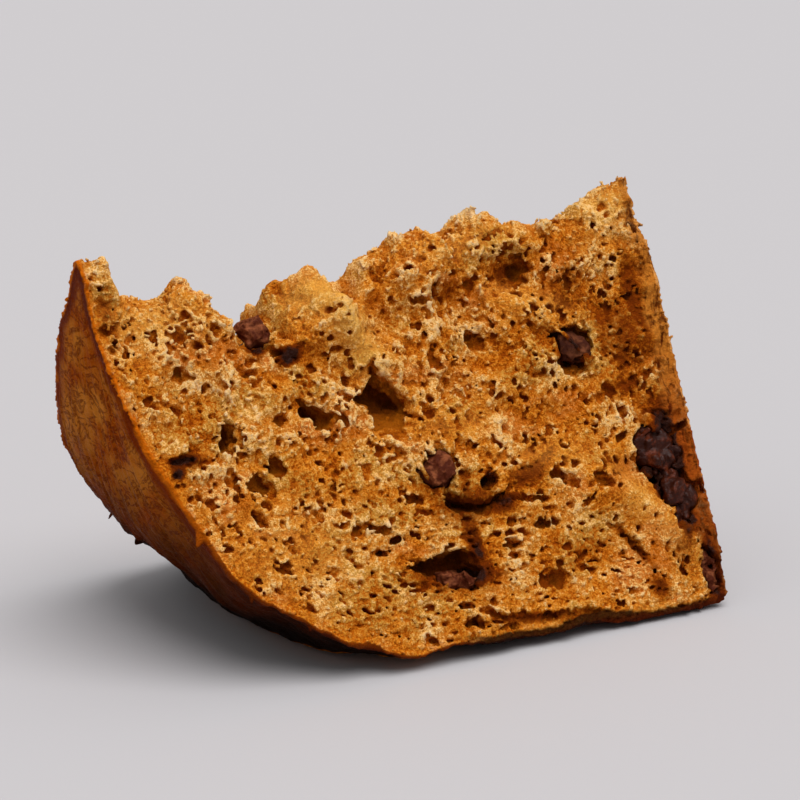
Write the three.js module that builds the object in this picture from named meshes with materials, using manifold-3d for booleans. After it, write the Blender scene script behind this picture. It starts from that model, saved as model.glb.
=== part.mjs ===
// A wedge torn from a low, wide chocolate panettone, in millimetres.
// X runs along the loaf's axis, from its dome to its flat base. Z is up.
// The wedge lies on the side wall of the loaf, with one open face towards -Y.

import * as THREE from 'three';
import { mergeVertices } from 'three/addons/utils/BufferGeometryUtils.js';
import Module from 'manifold-3d';

// The whole loaf
const loafRadius = 90;
const loafHeight = 125.3;
const domeDepth = 67.5;
const domePower = 2.3;
const wallFlare = 2.2;
const baseCorner = 2.5;

// Where the flat base lies along the loaf, and where the dome's tip and shoulder follow from it
const baseX = 63.8;
const domeX = baseX - loafHeight;
const shoulderX = domeX + domeDepth;

// Where the middle of the finished wedge lies in the measures along the loaf
const middleX = 2;

// How the wedge is cut and how it lies
const halfAngle = THREE.MathUtils.degToRad(27);
const axisHeight = 83.5;
const settleBlend = 3.3;

// Gentle waves of the crust: height, share of the second wave, turns along the loaf and around it, shift
const crustWave = { height: 0.7, share: 0.7, along: [0.21, 0.37], around: [5, 8], shift: 1 };

// Ripple of the flat base: depth, turns across and upwards, shifts
const baseWave = { depth: 0.5, turns: [0.23, 0.19], shift: [1, 2] };

// How many places are tried for each small pore
const tries = 40;

// How fine the surfaces are
const loafSegments = 84;
const domeRings = 22;
const wallRings = 8;
const baseRings = 8;
const faceStep = 4.1;
const tearStep = 3.3;
const weldDistance = 1e-4;

// Hollows with a half size above the first are cut finer, those below the second are cut coarser
const wideHollow = 6;
const smallHollow = 2.8;

// Spare length by which the cutting blocks pass the loaf
const spare = 8;

// Room left around each chunk of chocolate and at its mouth
const chunkGap = 0.7;
const mouthGap = 0.6;

// How blocky and how lumpy a chunk is, and the turns of its lumps along its three axes
const chunkForm = { power: 3, lumps: 0.08, turns: [4.1, 3.7, 5.3], share: 0.6 };

// How deep a flake of crust is rooted, how flat it is and how many sides it has
const flakeForm = { root: 1.5, flat: 0.5, sides: 5 };

// The torn edge along the axis: place along the loaf, depth below the axis
const tearLine = [
  [-66, 1], [-60, 1], [-57, 2.5], [-53.5, 10.5], [-47, 12.5], [-40.5, 9.2], [-36.5, 12.5], [-32, 19.5],
  [-26, 21.5], [-22, 19.5], [-18, 13.5], [-12.5, 11], [-6.5, 15.5], [-1, 12], [10, 5.8], [14.5, 6],
  [20, 7.8], [26.5, 3.8], [34, 6.2], [43, 8.2], [48.5, 7.6], [52, 4.8], [58, 1.2], [66, 0],
];

// The torn edge falls away towards the back, most at the dome's tip
const tearSlope = { front: 0.1, back: 0.5, tip: 1.6, tipStart: -46, tipEnd: -60 };

// Ripple of the torn edge: height, turns along and across, and the share by which it is let down
const tearRipple = { height: 0.8, along: 0.5, across: [0.3, 0.45], shift: 1, down: 0.4 };

// Bumps and dents of the crust: place along the loaf, angle around it in degrees, spreads, lift
const crustForms = [
  { x: -51, angle: 24, spread: [6, 14], lift: 1.8 },
  { x: -44, angle: 20, spread: [9, 10], lift: 1.4 },
  { x: -38, angle: 8, spread: [9, 14], lift: -1.1 },
  { x: -20, angle: -14, spread: [9, 8], lift: 0.9 },
  { x: 42, angle: -25, spread: [16, 9], lift: 0.9 },
];

// Broad forms of the front face: place along the loaf and below its axis, spread, tilt in degrees, lift
const frontForms = [
  { at: [-41, 11], spread: [7, 6], tilt: 0, lift: 1.5 },
  { at: [-13, 15], spread: [6, 9], tilt: 0, lift: 3.2 },
  { at: [-8, 26], spread: [3.5, 8], tilt: -25, lift: 1.8 },
  { at: [5, 13], spread: [8, 6], tilt: 0, lift: 2.6 },
  { at: [11, 22], spread: [2.8, 9], tilt: 0, lift: 2 },
  { at: [18, 9], spread: [7, 5], tilt: 0, lift: 3 },
  { at: [34, 11], spread: [8, 4], tilt: 0, lift: 2.2 },
  { at: [31, 25], spread: [11, 2.5], tilt: 28, lift: 2.2 },
  { at: [49, 69], spread: [14, 4], tilt: 45, lift: 2.8 },
  { at: [-32, 23], spread: [5, 6], tilt: 0, lift: -3.5 },
  { at: [18, 19], spread: [4.5, 4.5], tilt: 0, lift: -2.5 },
  { at: [32, 17], spread: [5, 4], tilt: 0, lift: -2.5 },
  { at: [20, 31], spread: [6, 6], tilt: 0, lift: -2.2 },
  { at: [13, 40], spread: [9, 6], tilt: 0, lift: -1.5 },
  { at: [51, 26], spread: [6, 8], tilt: 0, lift: -1 },
  { at: [38, 74], spread: [9, 5], tilt: 0, lift: -1.8 },
  { at: [29, 81], spread: [9, 4], tilt: 0, lift: -1.2 },
  { at: [-53, 16], spread: [4, 5], tilt: 0, lift: -1.8 },
];

// Broad forms of the back face, in the same words
const backForms = [
  { at: [-42, 18], spread: [8, 7], tilt: 0, lift: 2.4 },
  { at: [-20, 26], spread: [5, 12], tilt: 30, lift: 2.2 },
  { at: [4, 14], spread: [9, 6], tilt: 0, lift: 2.6 },
  { at: [27, 22], spread: [4, 11], tilt: -35, lift: 2.4 },
  { at: [46, 40], spread: [7, 9], tilt: 0, lift: 1.6 },
  { at: [10, 62], spread: [16, 5], tilt: 20, lift: 1.8 },
  { at: [-30, 34], spread: [7, 6], tilt: 0, lift: -2.6 },
  { at: [-8, 42], spread: [8, 6], tilt: 0, lift: -2.2 },
  { at: [36, 14], spread: [6, 5], tilt: 0, lift: -2.4 },
  { at: [30, 56], spread: [9, 5], tilt: -15, lift: -2 },
  { at: [-14, 70], spread: [10, 4], tilt: 0, lift: -1.4 },
  { at: [50, 72], spread: [6, 7], tilt: 0, lift: -1.6 },
];

// Large pores of the front face: place, half sizes along the loaf, downwards and inwards, tilt
const frontPores = [
  { at: [-3.4, 35], half: [4.6, 6.5, 8], tilt: -20 },
  { at: [-1, 41], half: [7.6, 5.6, 8.5], tilt: 18 },
  { at: [-18.5, 39.5], half: [4.6, 3.6, 6], tilt: 20 },
  { at: [-38.5, 41], half: [2.9, 4.3, 7], tilt: 0 },
  { at: [-27.7, 40], half: [3.8, 3.2, 3.2], tilt: 20 },
  { at: [-30, 47.7], half: [1.7, 2.5, 3], tilt: 0 },
  { at: [-33.3, 51], half: [2.7, 1.9, 3], tilt: 35 },
  { at: [-12, 50.7], half: [3.5, 2.2, 4], tilt: 0 },
  { at: [-12, 63.3], half: [4.5, 1.3, 3], tilt: 15 },
  { at: [-12, 67.8], half: [2.6, 1.3, 2.5], tilt: 10 },
  { at: [-1, 59], half: [2.2, 1.6, 2.6], tilt: 0 },
  { at: [11.5, 62], half: [8.4, 3.2, 6.5], tilt: 4 },
  { at: [16, 57.5], half: [1.9, 2.4, 4.5], tilt: 20 },
  { at: [2, 74.5], half: [9.5, 3.6, 7], tilt: 6 },
  { at: [26, 68.4], half: [3.4, 2, 4], tilt: 0 },
  { at: [26, 80], half: [4.4, 2.8, 2.4], tilt: 0 },
  { at: [6, 86], half: [3.4, 1.8, 4.5], tilt: 0 },
  { at: [32.4, 16.7], half: [4, 3.2, 3], tilt: 0 },
  { at: [18, 18.6], half: [3.4, 3.6, 3], tilt: 0 },
  { at: [20.5, 30.5], half: [4.4, 3.4, 3], tilt: -10 },
  { at: [-28.5, 24], half: [3.2, 3.6, 5], tilt: 0 },
];

// Chunks of chocolate: place, half sizes, how far the middle lies below the face, and turn in degrees
const frontChunks = [
  { at: [42.5, 34], half: [4.2, 4, 3.4], sunk: 2.2, turn: 20 },
  { at: [4.5, 54.6], half: [4.2, 4, 3.6], sunk: 0.6, turn: 50 },
  { at: [5.2, 76.4], half: [4.8, 2.5, 3.2], sunk: 2.6, turn: 6 },
  { at: [-26.6, 20.6], half: [3.2, 3.8, 3], sunk: 1.6, turn: -20 },
  { at: [56, 57.5], half: [3.6, 5, 3.6], sunk: 1.4, turn: -18 },
  { at: [58.6, 68.6], half: [3.2, 5.2, 3.4], sunk: 1.6, turn: -8 },
  { at: [61.4, 84.6], half: [1.7, 5.4, 2.8], sunk: 1.6, turn: 2 },
];
const backChunks = [
  { at: [-22, 47], half: [4, 3.8, 3.4], sunk: 0.8, turn: 30 },
  { at: [21, 34], half: [3.6, 4.2, 3.2], sunk: 1, turn: -35 },
  { at: [38, 67], half: [4.6, 3, 3.2], sunk: 1.4, turn: 15 },
];

// Smaller pores spread over both faces: counts, sizes, distances from the base and dome, crust, tear and
// each other, flatness at the axis and at the crust, and most tilt in degrees
const smallPores = {
  front: 14, back: 22, least: 1.5, range: 1.3, fromEnds: 4, fromCrust: 5, fromTear: 6, clear: 1.8,
  flatAtAxis: 0.85, flatAtCrust: 0.5, tilt: 15,
};

// Flakes that stand up from the crust: place along the loaf, angle around it, length, width, lean
const crustFlakes = [
  { x: -54, angle: 22, long: 4.4, wide: 3.4, lean: 62 },
  { x: -55.5, angle: 19, long: 3.8, wide: 2.4, lean: 78 },
  { x: -46, angle: 17, long: 5, wide: 1.8, lean: 30 },
  { x: -40, angle: 16, long: 3.6, wide: 4, lean: 48 },
  { x: -62.5, angle: 18, long: 3.2, wide: 2.6, lean: 60 },
  { x: -49, angle: -26, long: 3.6, wide: 3, lean: 35 },
  { x: -40, angle: -26, long: 3.4, wide: 2.8, lean: 20 },
  { x: -6.5, angle: -26.4, long: 3.2, wide: 2.6, lean: 0 },
  { x: baseX, angle: -26, radius: 10.5, long: 3.2, wide: 2.4, lean: -80 },
];

const wasm = await Module();
wasm.setup();

// Turn a closed three.js geometry into a solid
function toSolid(geometry) {
  const bare = geometry.clone();
  bare.deleteAttribute('normal');
  bare.deleteAttribute('uv');
  const merged = mergeVertices(bare, weldDistance);
  const corners = merged.index.array;
  const kept = [];
  for (let i = 0; i < corners.length; i += 3) {
    const [a, b, c] = corners.slice(i, i + 3);
    if (a !== b && b !== c && c !== a) {
      kept.push(a, b, c);
    }
  }
  const vertProperties = new Float32Array(merged.attributes.position.array);
  const triVerts = new Uint32Array(kept);
  return new wasm.Manifold(new wasm.Mesh({ numProp: 3, vertProperties, triVerts }));
}

// Turn a solid back into a three.js geometry
function toGeometry(solid) {
  const mesh = solid.getMesh();
  const geometry = new THREE.BufferGeometry();
  geometry.setAttribute('position', new THREE.BufferAttribute(new Float32Array(mesh.vertProperties), 3));
  geometry.setIndex(new THREE.BufferAttribute(new Uint32Array(mesh.triVerts), 1));
  geometry.computeVertexNormals();
  return geometry;
}

// Move every vertex of a geometry by a function of its place
function reshape(geometry, change) {
  const position = geometry.attributes.position;
  const point = new THREE.Vector3();
  for (let i = 0; i < position.count; i++) {
    point.fromBufferAttribute(position, i);
    change(point);
    position.setXYZ(i, point.x, point.y, point.z);
  }
  return geometry;
}

// The same spread of values from 0 to 1 on every run
function scatter(index, kind) {
  const wave = Math.sin(index * 12.9898 + kind * 78.233) * 43758.5453;
  return wave - Math.floor(wave);
}

// Radius of the loaf at a place along its axis
function loafRadiusAt(x) {
  if (x >= shoulderX) {
    return loafRadius + wallFlare * (x - shoulderX) / (baseX - shoulderX);
  }
  const reach = Math.min((shoulderX - x) / domeDepth, 1);
  return loafRadius * (1 - reach ** domePower) ** (1 / domePower);
}

// Height of the torn edge below the axis, eased between the points of the tear line
function tearDepthAt(x) {
  const next = tearLine.findIndex(([place]) => place > x);
  if (next < 1) {
    return next === 0 ? tearLine[0][1] : tearLine[tearLine.length - 1][1];
  }
  const [x0, depth0] = tearLine[next - 1];
  const [x1, depth1] = tearLine[next];
  return THREE.MathUtils.lerp(depth0, depth1, THREE.MathUtils.smoothstep(x, x0, x1));
}

// Sum of the broad forms of a face at one place
function reliefAt(forms, x, r) {
  let lift = 0;
  for (const form of forms) {
    const turn = THREE.MathUtils.degToRad(form.tilt);
    const dx = x - form.at[0];
    const dr = r - form.at[1];
    const along = (dx * Math.cos(turn) + dr * Math.sin(turn)) / form.spread[0];
    const across = (dr * Math.cos(turn) - dx * Math.sin(turn)) / form.spread[1];
    lift += form.lift * Math.exp(-along * along - across * across);
  }
  return lift;
}

// Half of the loaf's outline, turned around its axis
function makeLoaf() {
  const outline = [];
  for (let i = 0; i <= domeRings; i++) {
    const angle = Math.PI / 2 * (1 - i / domeRings);
    const reach = i === 0 ? 1 : Math.sin(angle) ** (2 / domePower);
    const radius = i === 0 ? 0 : loafRadius * Math.cos(angle) ** (2 / domePower);
    outline.push(new THREE.Vector2(radius, shoulderX - domeDepth * reach));
  }
  for (let i = 1; i <= wallRings; i++) {
    const x = THREE.MathUtils.lerp(shoulderX, baseX - baseCorner, i / wallRings);
    outline.push(new THREE.Vector2(loafRadiusAt(x), x));
  }
  for (let i = 0; i <= baseRings; i++) {
    const radius = (loafRadiusAt(baseX) - baseCorner) * (1 - i / baseRings);
    outline.push(new THREE.Vector2(radius, baseX));
  }
  const loaf = new THREE.LatheGeometry(outline, loafSegments);
  loaf.rotateZ(-Math.PI / 2);
  reshape(loaf, roughenLoaf);
  loaf.translate(0, 0, axisHeight);
  reshape(loaf, settleLoaf);
  return toSolid(loaf);
}

// Lift of the crust above the smooth loaf, from gentle waves that fade at the axis, bumps and dents
function crustLiftAt(x, angle, radius) {
  const first = Math.sin(x * crustWave.along[0] + angle * crustWave.around[0]);
  const second = Math.sin(x * crustWave.along[1] - angle * crustWave.around[1] + crustWave.shift);
  let lift = crustWave.height * (first + crustWave.share * second) * Math.min(radius / loafRadius, 1);
  for (const form of crustForms) {
    const along = (x - form.x) / form.spread[0];
    const around = (THREE.MathUtils.radToDeg(angle) - form.angle) / form.spread[1];
    lift += form.lift * Math.exp(-along * along - around * around);
  }
  return lift;
}

// Push the crust away from the middle of the dome or from the axis, and roughen the base
function roughenLoaf(point) {
  if (point.x > baseX - 1) {
    const across = Math.sin(point.y * baseWave.turns[0] + baseWave.shift[0]);
    const upwards = Math.sin(point.z * baseWave.turns[1] + baseWave.shift[1]);
    point.x += baseWave.depth * (across * upwards - 1) / 2;
    return;
  }
  const radius = Math.hypot(point.y, point.z);
  const angle = Math.atan2(point.y, -point.z);
  const outward = new THREE.Vector3(Math.min(point.x - shoulderX, 0), point.y, point.z).normalize();
  point.addScaledVector(outward, crustLiftAt(point.x, angle, radius));
}

// The side wall settles flat where it lies, and eases back into the round
function settleLoaf(point) {
  if (point.z < -settleBlend) {
    point.z = 0;
  } else if (point.z < settleBlend) {
    point.z = (point.z + settleBlend) ** 2 / (4 * settleBlend);
  }
}

// Outward direction of a face, and the direction down along it, for side -1 (front) or 1 (back)
function faceFrame(side) {
  return {
    out: new THREE.Vector3(0, side * Math.cos(halfAngle), Math.sin(halfAngle)),
    down: new THREE.Vector3(0, side * Math.sin(halfAngle), -Math.cos(halfAngle)),
  };
}

// Place of a point given along the loaf, down the face and out of it
function onFace(side, x, r, out) {
  const frame = faceFrame(side);
  return new THREE.Vector3(x, 0, axisHeight)
    .addScaledVector(frame.down, r)
    .addScaledVector(frame.out, out);
}

// Transform that lays a flat geometry on a face: X along the loaf, Z out of the face
function faceTransform(side, place, turn) {
  const frame = faceFrame(side);
  const alongLoaf = new THREE.Vector3(1, 0, 0);
  const acrossLoaf = new THREE.Vector3().crossVectors(frame.out, alongLoaf);
  const transform = new THREE.Matrix4().makeBasis(alongLoaf, acrossLoaf, frame.out);
  const spin = new THREE.Matrix4().makeRotationZ(side * THREE.MathUtils.degToRad(turn));
  transform.multiply(spin);
  return transform.setPosition(place);
}

// A thick block whose upper side follows a height function of its own x and y
function makeReliefBlock(length, width, thickness, step, heightAt) {
  const columns = Math.round(length / step);
  const rows = Math.round(width / step);
  const block = new THREE.BoxGeometry(length, width, thickness, columns, rows, 1);
  block.translate(0, 0, -thickness / 2);
  return reshape(block, (point) => {
    if (point.z > -thickness / 2) {
      point.z = heightAt(point.x, point.y);
    }
  });
}

// All that lies behind one open face of the wedge
function makeFaceBlock(side, forms) {
  const length = loafHeight + 2 * spare;
  const width = loafRadius + 3 * spare;
  const middle = width / 2 - spare;
  const heightAt = (x, y) => reliefAt(forms, x, middle + side * y);
  const block = makeReliefBlock(length, width, 2 * loafRadius, faceStep, heightAt);
  block.applyMatrix4(faceTransform(side, onFace(side, 0, middle, 0), 0));
  return toSolid(block);
}

// All that lies below the torn edge
function makeTearBlock() {
  const length = loafHeight + 2 * spare;
  const heightAt = (x, y) => {
    const slanted = Math.sin(x * tearRipple.along + y * tearRipple.across[0]);
    const crossed = Math.cos(y * tearRipple.across[1] + tearRipple.shift);
    const ripple = tearRipple.height * (slanted * crossed - tearRipple.down);
    const atTip = THREE.MathUtils.smoothstep(-x, -tearSlope.tipStart, -tearSlope.tipEnd);
    const backSlope = THREE.MathUtils.lerp(tearSlope.back, tearSlope.tip, atTip);
    return ripple - tearDepthAt(x) - (y > 0 ? backSlope * y : -tearSlope.front * y);
  };
  const block = makeReliefBlock(length, loafRadius, 2 * loafRadius, tearStep, heightAt);
  block.translate(0, 0, axisHeight);
  return toSolid(block);
}

// An egg-shaped hollow, open at the face
function makePore(side, forms, pore) {
  const widest = Math.max(...pore.half);
  const detail = widest > wideHollow ? 2 : 1;
  const egg = widest < smallHollow
    ? new THREE.OctahedronGeometry(1, 1)
    : new THREE.IcosahedronGeometry(1, detail);
  egg.scale(...pore.half);
  const [x, r] = pore.at;
  const lift = reliefAt(forms, x, r);
  egg.applyMatrix4(faceTransform(side, onFace(side, x, r, lift), pore.tilt));
  return toSolid(egg);
}

// Smaller pores, flatter towards the crust, clear of the large pores, the chunks and each other
function spreadPores(count, kind, taken) {
  const placed = [];
  for (let i = 0; placed.length < count && i < tries * count; i++) {
    const nearest = domeX + smallPores.fromEnds;
    const farthest = baseX - smallPores.fromEnds;
    const x = THREE.MathUtils.lerp(nearest, farthest, scatter(i, kind));
    const inner = tearDepthAt(x) + smallPores.fromTear;
    const outer = loafRadiusAt(x) - smallPores.fromCrust;
    const r = THREE.MathUtils.lerp(inner, loafRadius, scatter(i, kind + 1));
    const size = smallPores.least + smallPores.range * scatter(i, kind + 2) ** 2;
    const flat = THREE.MathUtils.lerp(smallPores.flatAtAxis, smallPores.flatAtCrust, r / loafRadius);
    const tilt = smallPores.tilt * (2 * scatter(i, kind + 3) - 1);
    const isFree = [...taken, ...placed].every((other) => {
      const reach = Math.max(other.half[0], other.half[1]) + size + smallPores.clear;
      return Math.hypot(other.at[0] - x, other.at[1] - r) > reach;
    });
    if (r < outer && isFree) {
      placed.push({ at: [x, r], half: [size, size * flat, size], tilt });
    }
  }
  return placed;
}

// A rough block of chocolate, one unit in half size along each axis
function makeUnitChunk(seed, detail) {
  const chunk = new THREE.IcosahedronGeometry(1, detail);
  const { power, lumps, turns, share } = chunkForm;
  return reshape(chunk, (point) => {
    const sides = [point.x, point.y, point.z].map((side) => Math.abs(side) ** power);
    const blocky = (sides[0] + sides[1] + sides[2]) ** (1 / power);
    const flatLumps = Math.sin(turns[0] * point.x + seed) * Math.sin(turns[1] * point.y + 2 * seed);
    const deepLumps = Math.sin(turns[2] * point.z - seed);
    point.multiplyScalar((1 - lumps + lumps * (flatLumps + share * deepLumps)) / blocky);
  });
}

// A chunk, or with extra room the pocket that it sits in
function makeChunk(side, forms, chunk, seed, room) {
  const lump = makeUnitChunk(seed, room > 0 ? 1 : 2);
  lump.scale(...chunk.half.map((half) => half + room));
  const [x, r] = chunk.at;
  const lift = reliefAt(forms, x, r) - chunk.sunk;
  lump.applyMatrix4(faceTransform(side, onFace(side, x, r, lift), chunk.turn));
  return toSolid(lump);
}

// The open mouth of a pocket, a little wider than the chunk
function makeMouth(side, forms, chunk) {
  const half = [chunk.half[0] + mouthGap, chunk.half[1] + mouthGap, chunk.sunk + mouthGap];
  return makePore(side, forms, { at: chunk.at, half, tilt: chunk.turn });
}

// A pointed flake that stands up from the crust
function makeFlake(flake) {
  const spike = new THREE.ConeGeometry(flake.wide / 2, flake.long, flakeForm.sides);
  spike.scale(1, 1, flakeForm.flat);
  spike.translate(0, flake.long / 2 - flakeForm.root, 0);
  const slope = new THREE.Matrix4().makeRotationZ(THREE.MathUtils.degToRad(flake.lean));
  const around = new THREE.Matrix4().makeRotationX(Math.PI + THREE.MathUtils.degToRad(flake.angle));
  const upright = new THREE.Matrix4().makeRotationX(Math.PI / 2);
  spike.applyMatrix4(slope);
  spike.applyMatrix4(upright);
  spike.applyMatrix4(around);
  const angle = THREE.MathUtils.degToRad(flake.angle);
  const radius = flake.radius ?? loafRadiusAt(flake.x);
  spike.translate(flake.x, radius * Math.sin(angle), axisHeight - radius * Math.cos(angle));
  return toSolid(spike);
}

// The largest closed shell of a solid, without loose crumbs and sealed hollows
function keepLargest(solid) {
  let largest = solid;
  let most = 0;
  for (const shell of solid.decompose()) {
    const volume = shell.volume();
    if (volume > most) {
      most = volume;
      largest = shell;
    }
  }
  return largest;
}

// Crumb and crust of the wedge, with its pores and pockets cut
function makeWedge() {
  let wedge = makeLoaf();
  for (const flake of crustFlakes) {
    wedge = wedge.add(makeFlake(flake));
  }
  wedge = wedge.intersect(makeFaceBlock(-1, frontForms));
  wedge = wedge.intersect(makeFaceBlock(1, backForms));
  wedge = wedge.intersect(makeTearBlock());
  wedge = cutFace(wedge, -1, frontForms, frontPores, frontChunks, smallPores.front, 1);
  wedge = cutFace(wedge, 1, backForms, [], backChunks, smallPores.back, 11);
  return keepLargest(wedge);
}

// Cut the pores and pockets of one face
function cutFace(wedge, side, forms, pores, chunks, spreadCount, kind) {
  const spreadOver = spreadPores(spreadCount, kind, [...pores, ...chunks]);
  let open = wedge;
  for (const pore of [...pores, ...spreadOver]) {
    open = open.subtract(makePore(side, forms, pore));
  }
  chunks.forEach((chunk, i) => {
    open = open.subtract(makeChunk(side, forms, chunk, i + kind, chunkGap));
    open = open.subtract(makeMouth(side, forms, chunk));
  });
  return open;
}

const crumbFinish = new THREE.MeshStandardMaterial({ color: 0xb57a38, roughness: 0.9, metalness: 0 });
const chocolateFinish = new THREE.MeshStandardMaterial({ color: 0x3a2018, roughness: 0.5, metalness: 0 });

const panettone = new THREE.Group();
panettone.position.x = -middleX;

function addPiece(name, solid, material) {
  const piece = new THREE.Mesh(toGeometry(solid), material);
  piece.name = name;
  panettone.add(piece);
}

addPiece('panettone', makeWedge(), crumbFinish);
frontChunks.forEach((chunk, i) => {
  addPiece(`chocolate_front_${i + 1}`, makeChunk(-1, frontForms, chunk, i + 1, 0), chocolateFinish);
});
backChunks.forEach((chunk, i) => {
  addPiece(`chocolate_back_${i + 1}`, makeChunk(1, backForms, chunk, i + 11, 0), chocolateFinish);
});

export default panettone;
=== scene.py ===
import math
import time

import bpy
import numpy as np
import openvdb
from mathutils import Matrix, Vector


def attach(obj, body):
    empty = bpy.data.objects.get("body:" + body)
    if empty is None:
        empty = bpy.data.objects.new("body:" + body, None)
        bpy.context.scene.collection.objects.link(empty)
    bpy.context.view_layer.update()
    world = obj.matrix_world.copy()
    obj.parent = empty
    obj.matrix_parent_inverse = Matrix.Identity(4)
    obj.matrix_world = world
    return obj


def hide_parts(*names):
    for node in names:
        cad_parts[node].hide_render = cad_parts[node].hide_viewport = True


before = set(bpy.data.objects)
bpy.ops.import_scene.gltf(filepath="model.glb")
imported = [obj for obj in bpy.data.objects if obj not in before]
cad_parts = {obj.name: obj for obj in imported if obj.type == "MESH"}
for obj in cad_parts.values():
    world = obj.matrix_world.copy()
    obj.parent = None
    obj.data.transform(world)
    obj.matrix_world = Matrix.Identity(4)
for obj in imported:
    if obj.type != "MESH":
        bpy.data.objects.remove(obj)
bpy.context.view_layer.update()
startTime = time.time()


def report(stage):
    print(f"{time.time() - startTime:6.1f} s  {stage}")


# the loaf that the wedge comes from, in millimetres; x runs along its axis, dome to base
mm = 0.001
loaf = {
    "radius": 90.0,
    "baseX": 63.8,
    "length": 125.3,
    "domeDepth": 67.5,
    "domePower": 2.3,
    "wallFlare": 2.2,
    "baseCorner": 2.5,
    "halfAngle": math.radians(27),
    "axisHeight": 83.5,
    "settleBlend": 5.0,
    "middleX": 2.0,
}
domeX = loaf["baseX"] - loaf["length"]
shoulderX = domeX + loaf["domeDepth"]

# the voxel grid that the crumb is grown in
grid = {"voxel": 0.31, "margin": 3.2, "halfWidth": 44.5, "floor": -1.5, "top": 85.5}
voxel = grid["voxel"]
gridX = np.arange(domeX - grid["margin"], loaf["baseX"] + grid["margin"], voxel, dtype=np.float32)
gridY = np.arange(-grid["halfWidth"], grid["halfWidth"], voxel, dtype=np.float32)
gridZ = np.arange(grid["floor"], grid["top"], voxel, dtype=np.float32)
gridStart = np.array([gridX[0], gridY[0], gridZ[0]])
gridShape = (len(gridX), len(gridY), len(gridZ))


def smoothStep(value, low, high):
    t = np.clip((value - low) / (high - low), 0, 1)
    return t * t * (3 - 2 * t)


def softMax(a, b, blend):
    # the larger of two fields, with their crease rounded over the blend
    near = np.maximum(blend - np.abs(a - b), 0) / blend
    return np.maximum(a, b) + near * near * (blend / 4)


def splineWeights(places, cell):
    # cubic spline weights from coarse cells to places, one row for each place
    u = (places - places[0]) / cell + 1
    first = np.floor(u).astype(int)
    t = u - first
    count = int(np.ceil((places[-1] - places[0]) / cell)) + 5
    weights = np.zeros((len(places), count), np.float32)
    rows = np.arange(len(places))
    weights[rows, first - 1] = (1 - t) ** 3 / 6
    weights[rows, first] = (3 * t ** 3 - 6 * t ** 2 + 4) / 6
    weights[rows, first + 1] = (-3 * t ** 3 + 3 * t ** 2 + 3 * t + 1) / 6
    weights[rows, first + 2] = t ** 3 / 6
    return weights


def flatNoise(first, second, cellFirst, cellSecond, seed):
    # smooth noise over two axes, about -1 to 1
    a = splineWeights(first, cellFirst)
    b = splineWeights(second, cellSecond)
    draw = np.random.default_rng(seed).standard_normal((a.shape[1], b.shape[1])).astype(np.float32)
    return (a @ draw @ b.T) * 1.6


def solidNoise(axes, cell, seed):
    # smooth noise over a box of voxels, about -1 to 1
    a, b, c = (splineWeights(axis, cell) for axis in axes)
    size = (a.shape[1], b.shape[1] * c.shape[1])
    draw = np.random.default_rng(seed).standard_normal(size).astype(np.float32)
    alongX = (a @ draw).reshape(len(a), b.shape[1], c.shape[1])
    return np.matmul(np.matmul(b, alongX), c.T * np.float32(2.2))


def sampleRows(table, start, step, place):
    # a table over x and one more measure, read at that measure for every y and z
    u = np.clip((place - start) / step, 0, table.shape[1] - 1.001)
    low = np.floor(u).astype(np.int32)
    share = (u - low).astype(np.float32)
    return table[:, low] * (1 - share) + table[:, low + 1] * share


def readTable(table, starts, step, first, second):
    # the same kind of table, read at scattered points
    u = np.clip((first - starts[0]) / step, 0, table.shape[0] - 1.001)
    v = np.clip((second - starts[1]) / step, 0, table.shape[1] - 1.001)
    i = u.astype(int)
    j = v.astype(int)
    s = u - i
    t = v - j
    low = table[i, j] * (1 - t) + table[i, j + 1] * t
    high = table[i + 1, j] * (1 - t) + table[i + 1, j + 1] * t
    return low * (1 - s) + high * s


# places seen from the loaf's axis and from the two open faces, for every y and z
sinHalf = math.sin(loaf["halfAngle"])
cosHalf = math.cos(loaf["halfAngle"])
belowAxis = loaf["axisHeight"] - gridZ[None, :]
offAxis = np.sqrt(gridY[:, None] ** 2 + belowAxis ** 2)
aroundAxis = np.degrees(np.arctan2(gridY[:, None], belowAxis))
faceOut = {side: side * gridY[:, None] * cosHalf - belowAxis * sinHalf for side in (-1, 1)}
faceDown = {side: side * gridY[:, None] * sinHalf + belowAxis * cosHalf for side in (-1, 1)}

downStart = -14.0
downAxis = np.arange(downStart, 100, voxel, dtype=np.float32)
angleStep = voxel / loaf["radius"] * 180 / math.pi
angleStart = -36.0
angleAxis = np.arange(angleStart, 36, angleStep, dtype=np.float32)


def wallRadius(x):
    share = np.clip((x - shoulderX) / (loaf["baseX"] - shoulderX), 0, 1)
    return loaf["radius"] + loaf["wallFlare"] * share


def smoothLoaf(x, radius):
    # distance outside the smooth loaf, negative inside
    power = loaf["domePower"]
    reach = np.maximum(shoulderX - x, 0) / loaf["domeDepth"]
    wall = wallRadius(x)
    spread = radius / wall
    level = np.maximum(reach ** power + spread ** power, 1e-6) ** (1 / power)
    slopeX = (reach / level) ** (power - 1) / loaf["domeDepth"]
    slopeR = (spread / level) ** (power - 1) / wall
    crust = (level - 1) / np.maximum(np.hypot(slopeX, slopeR), 1e-4)
    return softMax(crust, x - loaf["baseX"], loaf["baseCorner"])


# bumps and dents of the crust: place along the loaf, angle around it, spreads, lift
crustForms = [
    (-51, 24, 6, 14, 1.8), (-38, 8, 9, 14, -1.1), (-20, -14, 9, 8, 0.9), (-44, 20, 9, 10, 1.4),
    (42, -26, 17, 7, 1.4), (63, -25, 9, 9, 2.8),
]
crust = {"wave": 0.7, "streak": 0.22, "patch": 0.4, "patchMost": 0.5, "grain": 0.2, "edgeFade": 0.5}


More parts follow.
